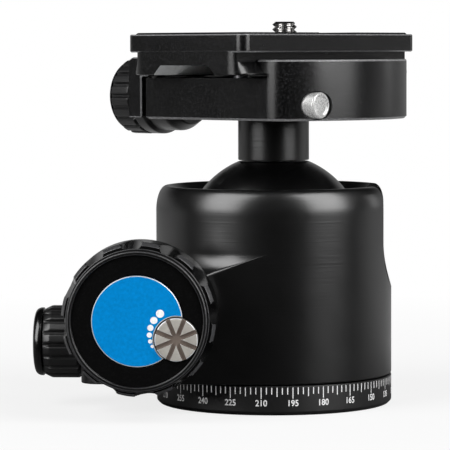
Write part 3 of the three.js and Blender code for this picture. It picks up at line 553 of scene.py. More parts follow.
def bumped(tree, shader, heights):
    """Stacks bumps of (value, strength, depth in millimetres) and gives them to the shader."""
    last = {}
    for value, strength, depth in heights:
        inputs = {"Strength": strength, "Distance": depth * MM, "Height": value, **last}
        last = {"Normal": add(tree, "ShaderNodeBump", inputs).outputs["Normal"]}
    feed(tree, shader, last)


def scaled(tint, factor):
    return tuple(min(1.0, c * factor) for c in tint)


def black_finish(name, tint, roughness, speckle, depth, lines=0.0, index=1.5, flecks=2):
    """Black anodising or moulding: a fine speckle with light flecks, and uneven gloss."""
    material, tree, shader = blank(name, 0, index, tint, roughness)
    spread, broad_scale, line_scale = 0.015, 180, 1900
    point = surface_point(tree)
    fine = noise(tree, point, speckle, 2)
    broad = noise(tree, point, broad_scale, 4)
    tone = tinted(tree, fine, scaled(tint, 0.7), scaled(tint, flecks), 0.5, 0.78)
    gloss = ranged(tree, broad, roughness - spread, roughness + spread)
    feed(tree, shader, {"Base Color": tone, "Roughness": gloss})
    heights = [(fine, 0.6, depth)]
    if lines:
        heights.append((noise(tree, turned_point(tree), line_scale, 2), 0.8, lines))
    bumped(tree, shader, heights)
    return material


def metal_finish(name, tint, roughness, lines=0.0, speckle=2500, metallic=1.0):
    """Bare metal: turned lines, uneven gloss and faint staining."""
    material, tree, shader = blank(name, metallic, 1.5, tint, roughness)
    spread, depth, broad_scale, line_scale = 0.06, 0.002, 260, 4200
    point = surface_point(tree)
    fine = noise(tree, point, speckle, 3)
    broad = noise(tree, point, broad_scale, 4)
    tone = tinted(tree, broad, scaled(tint, 0.8), scaled(tint, 1.08))
    gloss = ranged(tree, fine, roughness - spread, roughness + spread)
    feed(tree, shader, {"Base Color": tone, "Roughness": gloss})
    heights = [(fine, 0.5, depth)]
    if lines:
        heights.append((noise(tree, turned_point(tree), line_scale, 2), 0.8, lines))
    bumped(tree, shader, heights)
    return material


def plain_finish(name, tint, roughness, speckle=1500, depth=0.004, index=1.5):
    """Paint, plastic or coloured anodising, with a fine mottle."""
    material, tree, shader = blank(name, 0.0, index, tint, roughness)
    fine = noise(tree, surface_point(tree), speckle, 3)
    tone = tinted(tree, fine, scaled(tint, 0.88), scaled(tint, 1.1))
    gloss = ranged(tree, fine, roughness - 0.05, roughness + 0.08)
    feed(tree, shader, {"Base Color": tone, "Roughness": gloss})
    bumped(tree, shader, [(fine, 0.5, depth)])
    return material


made_finishes = {}


def finish(name):
    """One of the object's finishes, made the first time that it is asked for."""
    if name not in made_finishes:
        maker, tint, values, others = finish_values()[name]
        made_finishes[name] = maker(name, tint, *values, **others)
    return made_finishes[name]


def finish_values():
    """What makes each finish, its colour, and its other values."""
    tint = settings().colours
    black, rubber = tuple(tint.anodised), tuple(tint.rubber)

    def dark(shade, *values, **others):
        return black_finish, shade, values, others

    def metal(shade, *values, **others):
        return metal_finish, tuple(shade), values, others

    def plain(shade, *values, **others):
        return plain_finish, tuple(shade), values, others

    return {
        "satin_black": dark(black, 0.26, 2400, 0.016, index=1.75, flecks=15),
        "turned_black": dark(black, 0.29, 3800, 0.005, lines=0.02, index=1.9, flecks=4),
        "ball_black": dark(black, 0.25, 5200, 0.008, index=1.8),
        "ring_black": dark(scaled(black, 3), 0.42, 3800, 0.006, lines=0.01, index=1.7),
        "grip_black": dark(rubber, 0.22, 2600, 0.005, index=1.8),
        "scoop_black": dark(rubber, 0.14, 2600, 0.002, index=2.1),
        "rib_black": dark(scaled(rubber, 4), 0.38, 2600, 0.01, index=1.75),
        "rubber_black": dark(rubber, 0.6, 1800, 0.02, index=1.4),
        "face_black": dark(rubber, 0.6, 2400, 0.05, index=1.15),
        # The two lighter finishes below are painted highlights for chamfers and bevels.
        "edge_grey": dark((0.2, 0.2, 0.205), 0.4, 2600, 0.004, index=1.7),
        "worn_black": dark((0.05, 0.05, 0.053), 0.4, 2600, 0.004, index=1.7),
        "bare_rim": metal((0.8, 0.82, 0.84), 0.35, metallic=0.4),
        "dial_steel": metal((0.6, 0.57, 0.52), 0.42, speckle=1400, metallic=0.5),
        "dial_groove": metal(tint.groove, 0.5, metallic=0.3),
        "turned_steel": metal((0.8, 0.8, 0.79), 0.28, lines=0.006, metallic=0.55),
        "polished_steel": metal(tint.steel, 0.22),
        "machined_steel": metal(tint.dark_steel, 0.36),
        "turned_brass": metal(tint.brass, 0.3),
        "moulded_acetal": plain(tint.acetal, 0.45),
        # A plain grey for the plate's underside channel: partly bare milled metal, partly painted
        # light where the lamps barely reach.
        "milled_grey": plain((0.5, 0.51, 0.51), 0.35, speckle=1400),
        "blue_coat": plain(tint.blue, 0.5, speckle=1300, depth=0.012, index=1.1),
        "white_paint": plain(tint.paint, 0.5),
    }


# Base


def scale_angle(degrees):
    """Where a number of the scale stands round the base's axis, measured from +X."""
    return -QUARTER + settings().base.start - math.radians(degrees)


def build_base():
    ring = settings().base.ring / MM
    radius, _, top = round_reach("pan_base", BASE)
    wall, foot, head = round_reach("tripod_bushing", BASE)
    hub, bore_radius, grooves, edge = 9.0, wall + CLEARANCE, 6, 0.1
    profile = [(bore_radius, 0, edge)]
    for r in np.linspace(bore_radius + 3, radius - 3, grooves):
        steps = ((-0.5, 0), (-0.3, 0.25), (0.3, 0.25), (0.5, 0))
        profile += [(r + out, height, edge) for out, height in steps]
    profile += [
        (radius - 0.8, 0, 0.25), (radius, 0.8, 0.25), (radius, ring, 0.35),
        (hub, ring, 0.2), (hub, top, 0.3), (bore_radius, top, 0.3),
    ]
    disc = make("base_disc", lathed(profile, 240, closed=True), BASE, "ring_black")
    finished(disc, "pan_base", "black_anodised", "pan_base")

    crest, depth, pitch, edge, lead_in = 4.1, 0.75, 1.5875, 0.2, 0.1
    root = crest + depth
    mouth = root + 0.25
    rows = ring_rows((wall - edge, head), (wall, head - edge), (wall, foot + edge))
    rows += ring_rows((wall - edge, foot), (mouth, foot))
    rows += threaded(root, crest, pitch, foot + lead_in, head - lead_in)
    rows += ring_rows((mouth, head))
    bushing = make("threaded_bushing", skin(rows, ring=True), BASE, "machined_steel")
    finished(bushing, "pan_base", "dark_steel", "tripod_bushing")

    build_scale(radius, ring)


BLOCK_FACES = (
    (0, 1, 2, 3), (7, 6, 5, 4), (0, 4, 5, 1), (1, 5, 6, 2), (2, 6, 7, 3), (3, 7, 4, 0)
)


def build_scale(radius, ring):
    sizes = settings().base
    proud, sunk, top = 0.025, 0.15, ring - 0.35
    half_turn = sizes.tick_width / MM / radius / 2
    points, faces = [], []
    total = sizes.numbers * sizes.ticks
    for i in range(total):
        turn = scale_angle(0) + TURN * i / total
        if i % sizes.ticks == 0:
            tall = sizes.long_tick / MM
        elif i % (sizes.ticks // 2) == 0:
            tall = sizes.middle_tick / MM
        else:
            tall = sizes.short_tick / MM
        faces += [tuple(len(points) + k for k in face) for face in BLOCK_FACES]
        for r in (radius - sunk, radius + proud):
            for side, height in ((-1, top - tall), (1, top - tall), (1, top), (-1, top)):
                at = turn + side * half_turn
                points.append((r * math.cos(at), r * math.sin(at), height))
    ticks = make("scale_ticks", (points, faces), BASE, "white_paint")
    finished(ticks, "pan_base", "black_anodised")

    letters = bmesh.new()
    for i in range(sizes.numbers):
        degrees = 360 * i // sizes.numbers
        add_number(letters, str(degrees), scale_angle(degrees), radius, proud)
    mesh = bpy.data.meshes.new("scale_numbers")
    letters.to_mesh(mesh)
    letters.free()
    mesh.materials.append(finish("white_paint"))
    attach(show("scale_numbers", mesh, BASE), "pan_base", "black_anodised")


def add_number(letters, words, turn, radius, proud):
    """Wraps one number onto the ring, centred on a turn."""
    sizes = settings().base
    sunk, narrowing = 0.1, 0.92
    text = bpy.data.curves.new("number", "FONT")
    text.body = words
    text.align_x = "CENTER"
    text.extrude = 0.5
    text.offset = 0.016
    holder = show("number", text)
    mesh = evaluated_mesh(holder)
    heights = np.array([v.co for v in mesh.vertices])[:, 1]
    low = heights.min()
    grow = sizes.digit / (heights.max() - low)
    for vertex in mesh.vertices:
        x, y, z = vertex.co
        out = (radius + (proud if z > 0 else -sunk)) * MM
        at = turn + x * grow * narrowing / (radius * MM)
        height = sizes.digit_middle - sizes.digit / 2 + (y - low) * grow
        vertex.co = (out * math.cos(at), out * math.sin(at), height)
    letters.from_mesh(mesh)
    bpy.data.objects.remove(holder)
    bpy.data.curves.remove(text)


# Housing

HOUSING_BACK = 12.0  # millimetres that the boss reaches behind the axis


def boss_reach(turn, radius, left, corner):
    """Distance from the axis to the housing's wall, boss included, along a turn."""
    c, s = math.cos(turn), math.sin(turn)
    if c >= 0:
        return radius
    sides = [left / -c]
    if s > 0:
        sides.append(HOUSING_BACK / s)
    if s < 0:
        sides.append(radius / -s)
    out = min(sides)
    for y, sign in ((-radius + corner, -1), (HOUSING_BACK - corner, 1)):
        x = -left + corner
        hit_x, hit_y = out * c, out * s
        if hit_x < x and (hit_y - y) * sign > 0:
            along = x * c + y * s
            square = along**2 - (x * x + y * y - corner**2)
            if square > 0:
                out = along + math.sqrt(square)
    return max(radius, out)


def housing_turns(radius, left, corner):
    """Turns of the housing's columns: even ones, and close ones round the boss's corners."""
    even = list(np.linspace(-math.pi, math.pi, 300, endpoint=False))
    special = []
    for y, start in ((-radius + corner, 2 * QUARTER), (HOUSING_BACK - corner, QUARTER)):
        for x, v in arc(-left + corner, y, corner, start, start + QUARTER, 12):
            special.append(math.atan2(v, x))
    special.append(math.atan2(HOUSING_BACK, -math.sqrt(radius**2 - HOUSING_BACK**2)))
    gap = math.radians(0.35)
    kept = [t for t in even if all(abs(t - s) > gap for s in special)]
    return sorted(kept + special)


def boss_top_run(wall, edge, radius, top, fillet):
    """Points from the boss's upper edge in over its flat top and up the fillet to the wall."""
    samples = 16
    width = max(wall - edge - radius, 0)
    flat = max(width - fillet, 0)
    start = math.asin(min(1, max(0, (fillet - width) / fillet)))
    total = flat + fillet * (QUARTER - start)
    out = []
    for along in np.linspace(0, total, samples + 1):
        if along < flat:
            out.append((wall - edge - along, top))
        else:
            turn = min(QUARTER, start + (along - flat) / fillet)
            rise = top + fillet - fillet * math.cos(turn)
            out.append((radius + fillet - fillet * math.sin(turn), rise))
    return out


def build_housing():
    sizes = settings().housing
    low, high = reach("housing", BASE)
    radius, left, bottom, crest = high[0], -low[0], low[2], high[2]
    top, corner, fillet = sizes.boss_top / MM, sizes.boss_corner / MM, sizes.boss_fillet / MM
    rim_in, rim_down = sizes.rim_in / MM, sizes.rim_down / MM
    mouth, lip, seat_bore = sizes.mouth / MM, sizes.lip / MM, sizes.bore / MM
    lip_low, foot = crest - 6.4, 0.35
    rim = [
        (radius - rim_in + rim_in * math.cos(t), crest - rim_down + rim_down * math.sin(t))
        for t in np.linspace(0, QUARTER, 15)
    ]
    inner = [
        (mouth + 0.25, crest), (mouth, crest - 0.15), (mouth - 0.5, crest - 0.7),
        (lip + 0.1, lip_low + 0.9), (lip, lip_low + 0.6), (lip, lip_low), (seat_bore, lip_low),
        (seat_bore, bottom + 0.3), (seat_bore + 0.3, bottom),
    ]
    columns = []
    for turn in housing_turns(radius, left, corner):
        wall = boss_reach(turn, radius, left, corner)
        edge = min(sizes.boss_edge / MM, (wall - radius) / 2)
        run = boss_top_run(wall, edge, radius, top, fillet)
        shoulder = run[0][1] - edge
        column = [
            (wall - foot + foot * math.sin(t), bottom + foot - foot * math.cos(t))
            for t in np.linspace(0, QUARTER, 4)
        ]
        column += [(wall, h) for h in np.linspace(bottom + foot, shoulder, 7)[1:]]
        column += [
            (wall - edge + edge * math.cos(t), shoulder + edge * math.sin(t))
            for t in np.linspace(0, QUARTER, 6)[1:]
        ]
        column += run[1:]
        column += [(radius, h) for h in np.linspace(top + fillet, crest - rim_down, 5)[1:-1]]
        column += rim + inner
        columns.append([(r * math.cos(turn), r * math.sin(turn), h) for r, h in column])
    rows = np.transpose(np.array(columns), (1, 0, 2))
    housing = make("housing_body", skin(rows, ring=True), BASE, "turned_black")
    combine(housing, [notch_cutter(radius, crest), *lock_bores(radius), *pan_bores(), shoe_bore()])
    finished(housing, "housing", "black_anodised", "housing", sharp=30)


def notch_cutter(radius, crest):
    """The drop notch, with a rounded edge where it comes out through the wall."""
    sizes = settings().housing
    half, edge = sizes.notch / MM, sizes.notch_edge / MM
    ball_low, ball_high = reach("ball", BASE)
    centre = ball_low[2] + (ball_high[0] - ball_low[0]) / 2
    inner_end, last = 14, math.radians(72)
    start = radius - edge * math.sin(last)
    steps = [(start - 2, 0)]
    for t in np.linspace(0, last, 6):
        steps.append((start + edge * math.sin(t), edge * (1 - math.cos(t))))
    far = steps[-1][1] + math.tan(last)

    def outline(width):
        ends = [(width, crest + 2), (-width, crest + 2)]
        return arc(0, centre, width, -2 * QUARTER, 0, 36) + ends

    rows = [[(inner_end, y, z) for y, z in outline(half)]]
    for out, grow in steps:
        rows.append([(math.sqrt(out**2 - y**2), y, z) for y, z in outline(half + grow)])
    rows.append([(radius + PAST, y, z) for y, z in outline(half + far)])
    return cutter(skin(rows), BASE)


def lock_bores(radius):
    bush, bush_end, _ = round_reach("main_lock_bush", LOCK)
    plug = reach("lock_bore_plug", LOCK)[1][0]
    collar, collar_width, shaft, plug_front = 4.2, 1.5, 2.5, -20
    depth = -(radius + HOUSING_BACK + PAST)
    collar_end = bush_end - CLEARANCE - collar_width - CLEARANCE
    return [
        bore(bush + CLEARANCE, bush_end - CLEARANCE, PAST, LOCK),
        bore(collar + CLEARANCE, collar_end, PAST, LOCK),
        bore(shaft + CLEARANCE, depth, PAST, LOCK),
        bore(plug + CLEARANCE, depth, plug_front, LOCK),
    ]


def pan_bores():
    bush, bush_end, _ = round_reach("pan_lock_bush", PAN)
    screw, screw_end, _ = round_reach("pan_lock_screw", PAN)
    shoe_low, shoe_high = reach("pan_brake_shoe", BASE)
    shoe_x, shoe_y, _ = (shoe_low + shoe_high) / 2
    shoe = (shoe_high[0] - shoe_low[0]) / 2
    travel = 1.3
    return [
        bore(bush + CLEARANCE, bush_end - CLEARANCE, PAST, PAN),
        bore(screw + CLEARANCE, screw_end - CLEARANCE, PAST, PAN),
        bore(shoe + CLEARANCE, shoe_low[2] - travel, CAP.z / MM, moved(BASE, shoe_x, shoe_y)),
    ]


def shoe_bore():
    """The bore of the brake shoe, from the ball's seat out to the lock's cone."""
    radius, ball_foot, _ = round_reach("ball", BASE)
    centre = AXIS + UP * (ball_foot + radius) * MM
    towards = Vector((LOCK.translation.x, AXIS.y, LOCK.translation.z)) - centre
    shoe, cone = 4.8, 4.6
    return bore(shoe, radius, towards.length / MM - cone, facing(centre, towards.normalized()))


# Ball and neck


def build_ball():
    radius, foot, seat = round_reach("ball", BASE)
    centre = foot + radius
    bolt_bore, bore_floor = 4.3, 44.0
    flat_turn = math.acos((centre - seat) / radius)
    turns = np.linspace(0, flat_turn, 96)
    profile = [(radius * math.sin(t), centre - radius * math.cos(t)) for t in turns]
    profile += [(bolt_bore, seat), (bolt_bore, bore_floor), (0, bore_floor)]
    ball = make("ball_sphere", turned(profile, 192), BASE, "ball_black")
    finished(ball, "ball", "black_anodised", "ball", sharp=40)

    radius, foot, head = round_reach("neck", BASE)
    profile = [(bolt_bore, foot), (radius, foot), (radius, head), (bolt_bore, head)]
    neck = make("neck_tube", turned(soften(profile, 0.25), 144), BASE, "turned_black")
    finished(neck, "clamp", "black_anodised", "neck")


# Lock knob


def build_lock_knob():
    outer, back, front = round_reach("main_knob_core", LOCK)
    plate_low, plate_high = reach("knob_face_plate", LOCK)
    hub, body, body_back, shaft, blind = 9.0, 14.6, 2.4, 2.8, 11.3
    ring, ring_back = 16.05, front - 1.2
    step_front, step_back = ring_back - 0.4, ring_back - 1.4
    grip_front, groove = step_back - 0.4, 0.5
    face, pocket, wall = front - 0.6, front - 1.3, 0.9
    rim, pocket_radius = ring - wall, plate_high[1] + CLEARANCE
    profile = [
        (0, blind, 0), (shaft, blind, 0), (shaft, back, 0.2), (hub, back, 0.3),
        (hub, body_back, 0.2), (body, body_back, 0.4), (body, grip_front, 0.1),
        (outer - groove, grip_front, 0.1), (outer - groove, step_back, 0.1),
        (outer, step_back, 0.3), (outer, step_front, 0.22), (ring - groove, step_front, 0.1),
        (ring - groove, ring_back, 0.1), (ring, ring_back, 0.22), (ring, front, 0.62),
        (rim, front, 0.3), (rim, face, 0.15), (pocket_radius, face, 0.12),
        (pocket_radius, pocket, 0.1), (0, pocket, 0),
    ]
    finishes = "turned_black", "face_black", "worn_black"
    core = make("knob_core", lathed(profile, 240, steps=5), LOCK, *finishes)
    dial, stem = (DIAL_HIGH[0] - DIAL_LOW[0]) / 2, 1.5
    shank = DIAL_HIGH[2] - 3.0
    holes = [
        bore(dial + CLEARANCE, shank - CLEARANCE, front + PAST, DIAL, "face_black", sides=96),
        bore(stem + CLEARANCE, DIAL_LOW[2] - CLEARANCE, front + PAST, DIAL, "face_black"),
    ]
    combine(core, holes)

    def on_face(normal, at):
        return at.z > pocket - 0.01 and normal.z > 0.5 and at.xy.length < rim - 0.05

    # The bevel round the front ring gets a lighter finish: a painted highlight all round it.
    def on_edge(normal, at):
        return at.z > step_back and 0.15 < normal.z < 0.95 and at.xy.length > rim + 0.1

    paint_faces(core, 1, on_face)
    paint_faces(core, 2, on_edge)
    finished(core, "main_knob", "black_anodised", "main_knob_core")

    build_grip()
    build_face_plate(plate_high[1], plate_low[2], plate_high[2], dial + CLEARANCE)
    build_dots(plate_high[2])
    build_dial(dial, shank, stem)


def build_grip():
    """The grip's pads, with hollows between them that are deep in front and run out at the back."""
    sizes = settings().knobs
    low, high = reach("main_knob_grip", LOCK)
    scoop = sizes.scoop / MM
    outer, inner, back, front = high[1], 14.9, low[2], high[2]
    columns, longest, far = sizes.pads * 28, 0.7, 99
    turns = np.linspace(0, TURN, columns, endpoint=False)
    pitch = TURN / sizes.pads
    away = (turns - sizes.pad_turn) % pitch - pitch / 2
    corners = [(inner, back), (outer - 0.5, back), (outer, back + 0.8)]
    corners += [(outer - 0.1, front - 1.7), (outer - 0.75, front), (inner, front)]
    profile = soften(corners, [0, 0.25, 0.4, 0.3, 0.25, 0], closed=False, steps=4)
    fine = []
    for (r0, h0), (r1, h1) in zip(profile, profile[1:]):
        steps = max(1, round(math.hypot(r1 - r0, h1 - h0) / longest))
        fine += [(r0 + (r1 - r0) * k / steps, h0 + (h1 - h0) * k / steps) for k in range(steps)]
    rows = []
    for radius, height in [*fine, profile[-1]]:
        along = (height - back) / (front - back)
        clear = sizes.scoop_back / MM * (1 - along) - sizes.scoop_front / MM * along
        centre = outer + scoop + clear
        square = scoop**2 - (centre * np.sin(away)) ** 2
        hollow = centre * np.cos(away) - np.sqrt(np.maximum(square, 0))
        hollow = np.where(square > 0, hollow, far)
        rows.append(ring_row(np.minimum(radius, hollow), height, columns))
    finishes = "grip_black", "worn_black", "scoop_black"
    grip = make("knob_grip", skin(rows, ring=True), LOCK, *finishes)

    def in_hollow(normal, at):
        return inner + 0.3 < at.xy.length < outer - 0.3 and abs(normal.z) < 0.9

    # The pads' front chamfers get a lighter finish: a painted highlight.
    def on_edge(normal, at):
        return at.z > front - 1.75 and 0.3 < normal.z < 0.95 and at.xy.length > outer - 1

    paint_faces(grip, 2, in_hollow)
    paint_faces(grip, 1, on_edge)
    finished(grip, "main_knob", "black_rubber", "main_knob_grip", sharp=24)


def build_face_plate(radius, back, front, hole):
    edge = 0.2
    profile = [(0, back), (radius, back), (radius, front - edge), (radius - edge, front)]
    shape = turned([*profile, (0, front)], 200)
    plate = make("face_plate", shape, LOCK, "blue_coat", "bare_rim")
    profile = [(0, back - PAST), (hole, back - PAST), (hole, front - edge)]
    shape = turned([*profile, (hole + edge * 2, front + edge), (0, front + edge)], 120)
    combine(plate, [cutter(shape, DIAL, "bare_rim")])
    paint_faces(plate, 1, lambda normal, at: 0.2 < normal.z < 0.95)
    finished(plate, "main_knob", "blue_anodised", "knob_face_plate")


def build_dots(front):
    """Dots that run round the friction dial and grow along the way."""
    sizes = settings().knobs
    radii = np.linspace(sizes.first_dot, sizes.last_dot, sizes.dots) / MM
    farthest, nearest, start = 6.97, 5.69, 121.8
    distances = np.linspace(farthest, nearest, sizes.dots)
    turn, gap, sunk, proud = math.radians(start), 0.34, 0.05, 0.02
    points, faces = [], []
    for i, (radius, distance) in enumerate(zip(radii, distances)):
        if i:
            turn += (radii[i - 1] + radius + gap) / ((distances[i - 1] + distance) / 2)
        x, y = DIAL_X + distance * math.cos(turn), DIAL_Y + distance * math.sin(turn)
        disc_points, disc_faces = rod(radius, front - sunk, front + proud, 40)
        faces += [tuple(len(points) + k for k in face) for face in disc_faces]
        points += [(px + x, py + y, pz) for px, py, pz in disc_points]
    dots = make("friction_dots", (points, faces), LOCK, "white_paint")
    finished(dots, "main_knob", "blue_anodised")


def build_dial(radius, shank, stem):
    rays = settings().knobs.rays
    top, bottom = DIAL_HIGH[2], DIAL_LOW[2]
    profile = [
        (0, bottom, 0), (stem, bottom, 0.1), (stem, shank, 0.1),
        (radius, shank, 0.1), (radius, top, 0.32), (0, top, 0),
    ]
    finishes = "dial_steel", "dial_groove", "bare_rim"
    dial = make("dial_disc", lathed(profile, 144, steps=4), DIAL, *finishes)
    half, lean, floor, over = 0.42, 0.16, top - 0.62, top + 0.2
    bar = [(-half, floor), (half, floor), (half + lean, over), (-half - lean, over)]
    shape = rail(soften(bar, [0.25, 0.25, 0, 0]), -2 * radius, 2 * radius)
    turns = [Matrix.Rotation((i + 0.5) * math.pi / rays, 4, "Z") for i in range(rays)]
    combine(dial, [cutter(shape, DIAL @ turn, "dial_groove") for turn in turns])
    chamfer(dial, 0.09, 40)
    paint_faces(dial, 2, lambda normal, at: at.z > top - 0.2 and 0.2 < normal.z < 0.97)
    finished(dial, "friction_dial", "bright_steel", "friction_dial")


# Small knobs


def ribbed(radius, ribs, levels, hole):
    """A ribbed sleeve. levels are (height, share of the rib's depth, radius taken off its root)."""
    depth = settings().knobs.rib_depth / MM
    columns, width, flank = ribs * 16, 0.6, 0.1
    turns = np.linspace(0, TURN, columns, endpoint=False)
    shape = ridge(turns * ribs / TURN % 1, width, flank)
    rows = []
    for height, rise, less in levels:
        rows.append(ring_row(radius - depth - less + depth * rise * shape, height, columns))
    for height in (levels[-1][0], levels[0][0]):
        rows.append(ring_row(hole, height, columns))
    return skin(rows, ring=True)


def build_pan_knob():
    radius, back, front = round_reach("pan_knob", PAN)
    levels = [
        (back, 0, 0.6), (back + 0.35, 0, 0.15), (back + 0.5, 0, 0), (back + 0.75, 0.75, 0),
        (back + 1.0, 1, 0), (front - 1.9, 1, 0), (front - 1.5, 0.9, 0), (front - 0.3, 0.15, 0),
        (front - 0.15, 0, 0), (front, 0, 0.15),
    ]
    shape = ribbed(radius, settings().knobs.pan_ribs, levels, 6.4)
    knob = make("pan_grip", shape, PAN, "rib_black")
    inner, outer, low, high = 2.3, 6.6, back + 0.05, front - 2.3
    shape = turned([(inner, low), (outer, low), (outer, high), (inner, high)], 96)
    combine(knob, [make("hub", shape, PAN, "rib_black")], "UNION")
    finished(knob, "pan_knob", "black_rubber", "pan_knob", sharp=28)

    seat, spigot = front + CLEARANCE, 6.1
    radius, back, front = round_reach("pan_knob_cap", PAN)
    profile = [
        (0, back, 0), (spigot, back, 0.1), (spigot, seat, 0.1), (radius, seat, 0.25),
        (radius, seat + 0.9, 0.5), (radius - 0.45, front - 0.35, 0.6),
        (radius - 1.35, front, 0.8), (0, front, 0),
    ]
    cap = make("pan_cap", lathed(profile, steps=6), PAN, "grip_black")
    finished(cap, "pan_knob", "black_anodised", "pan_knob_cap")


def build_clamp_knob():
    radius, back, front = round_reach("clamp_knob_collar", CLAMP_SCREW)
    side, tip, taper, ring_low = radius - 0.9, radius - 2.5, 3.0, back + 9.4
    ring_high, spigot, screw, blind = ring_low + 3.1, 6.0, 2.8, front - 0.6
    profile = [
        (0, blind, 0), (screw, blind, 0), (screw, back, 0.2), (tip, back, 0.4),
        (side, back + taper, 0.6), (side, ring_low - 0.9, 0.25), (radius, ring_low, 0.3),
        (radius, ring_high, 0.35), (spigot, ring_high, 0.1), (spigot, front, 0.1), (0, front, 0),
    ]
    collar = make("clamp_collar", lathed(profile, steps=5), CLAMP_SCREW, "turned_black")
    finished(collar, "clamp_knob", "black_anodised", "clamp_knob_collar")

    radius, back, front = round_reach("clamp_knob_grip", CLAMP_SCREW)
    levels = [
        (back, 0, 0.15), (back + 0.15, 0, 0), (back + 0.6, 0.9, 0), (back + 0.8, 1, 0),
        (front - 0.8, 1, 0), (front - 0.6, 0.9, 0), (front - 0.15, 0, 0), (front, 0, 0.15),
    ]
    shape = ribbed(radius, settings().knobs.clamp_ribs, levels, spigot + CLEARANCE)
    grip = make("clamp_grip", shape, CLAMP_SCREW, "rib_black")
    finished(grip, "clamp_knob", "black_rubber", "clamp_knob_grip", sharp=28)

    radius, back, front = round_reach("clamp_knob_cap", CLAMP_SCREW)
    face = front - 0.12
    profile = [
        (0, back, 0), (radius, back, 0.1), (radius, back + 0.2, 0.1),
        (radius - 0.5, front, 0.25), (radius - 2.2, face, 0.3), (0, face, 0),
    ]
    cap = make("clamp_cap", lathed(profile), CLAMP_SCREW, "grip_black")
    finished(cap, "clamp_knob", "black_anodised", "clamp_knob_cap")


# Clamp and jaw


def clamp_outline(radius, half_length, left, corner, inset):
    """The clamp seen from above: straight at the jaw's side, round at the other."""
    inner = radius - corner
    corner_v = half_length - corner
    corner_u = math.sqrt(inner**2 - corner_v**2)
    meet = math.atan2(corner_v, corner_u)
    small, big = corner - inset, radius - inset
    return [
        (left + inset, -half_length + inset),
        *arc(corner_u, -corner_v, small, -QUARTER, -meet, 10),
        *arc(0, 0, big, -meet, meet, 56)[1:-1],
        *arc(corner_u, corner_v, small, meet, QUARTER, 10),
        (left + inset, half_length - inset),
    ]


def build_clamp():
    sizes = settings().clamp
    low, high = reach("clamp_body", CLAMP)
    tail_foot = reach("dovetail_plate", CLAMP)[0][2]
    left, bottom, top, half_length, radius = low[0], low[2], high[2], high[1], high[0]
    edge, corner = sizes.edge / MM, sizes.corner / MM
    floor = tail_foot - 0.7
    insets = (
        (bottom, edge), (bottom + edge, 0), (top - 0.45, 0), (top - 0.12, 0.14), (top, 0.45)
    )
    levels = [(z, clamp_outline(radius, half_length, left, corner, inset)) for z, inset in insets]
    clamp = make("clamp_block", stack(levels), CLAMP, "satin_black", "edge_grey")
    # The chamfers get a lighter grey finish: painted highlights along the edges.
    paint_faces(clamp, 1, lambda normal, at: 0.2 < abs(normal.z) < 0.95)

    lip, lip_low, small = 16.5, top - 1, 0.5
    under = lip + lip_low - floor - small
    slot = [
        (left - PAST, floor), (under, floor), (under, floor + small), (lip, lip_low),
        (lip, top - 0.3), (lip + 0.3, top), (lip + 1.3, top + PAST), (left - PAST, top + PAST),
    ]
    bolt = reach("stem_bolt", BASE)[1][0]
    bolt_head, bolt_bore = 6, 4.3
    screw, screw_end, _ = round_reach("clamp_screw", CLAMP_SCREW)
    pin_low, pin_high = reach("jaw_guide_pin_2", CLAMP)
    guide_v = (pin_low[1] + pin_high[1]) / 2
    spring_end = reach("button_spring", BUTTON)[0][2]
    outer = -JAW_LOW[0]
    wall = -left - outer
    cutters = [
        cutter(rail(slot, -half_length - PAST, half_length + PAST), CLAMP),
        bore(bolt + CLEARANCE, floor - bolt_head, top, CLAMP, sides=96),
        bore(bolt_bore, bottom - PAST, top, CLAMP, sides=96),
        bore(screw + CLEARANCE, screw_end - CLEARANCE, wall + PAST, CLAMP_SCREW),
        bore(3.35, spring_end - CLEARANCE, radius + PAST, BUTTON),
        bore(1.8, 0, radius, BUTTON),
        bore(2.2, BUTTON_Z, top, STOP_PIN),
    ]
    pin, spring, spring_depth = 2.3, 3.5, 4.7
    pin_end = -(pin_high[0] + outer) - PAST
    for v in (guide_v, -guide_v):
        cutters.append(bore(pin, pin_end, wall + PAST, moved(CLAMP_SCREW, v, 0)))
        cutters.append(bore(spring, wall - spring_depth, wall + PAST, moved(CLAMP_SCREW, v, 0)))
    combine(clamp, cutters)
    finished(clamp, "clamp", "black_anodised", "clamp_body", sharp=30)
    build_jaw(tail_foot, floor + CLEARANCE, guide_v)


def build_jaw(tail_foot, floor, guide_v):
    left, _, bottom = JAW_LOW
    _, half_length, top = JAW_HIGH
    inner, lip, tail, flank = left + 4.45, -16.47, -19.07, tail_foot + 0.65
    profile = [
        (left, bottom), (inner, bottom), (inner, floor), (tail, floor), (tail, flank),
        (lip, flank + lip - tail), (lip, top), (left + 1.5, top), (left, top - 0.8),
    ]
    shape = rail(profile, -half_length, half_length)
    jaw = make("jaw_slab", shape, CLAMP, "satin_black", "edge_grey")
    chamfer(jaw, 0.3, 25)

    # The chamfers at the jaw's ends get a lighter grey finish: painted highlights.
    def on_end(normal, at):
        slanted = max(abs(normal.x), abs(normal.y), abs(normal.z)) < 0.97
        return slanted and abs(at.y) > half_length - 0.45

    paint_faces(jaw, 1, on_end)
    screw, pin, through = 2.8, 2.3, -12
    holes = [bore(screw, through, PAST, CLAMP_SCREW, sides=48)]
    for v in (-guide_v, guide_v):
        holes.append(bore(pin, through, PAST, moved(CLAMP_SCREW, v, 0), sides=48))
    combine(jaw, holes)
    finished(jaw, "moving_jaw", "black_anodised", "moving_jaw", sharp=30)


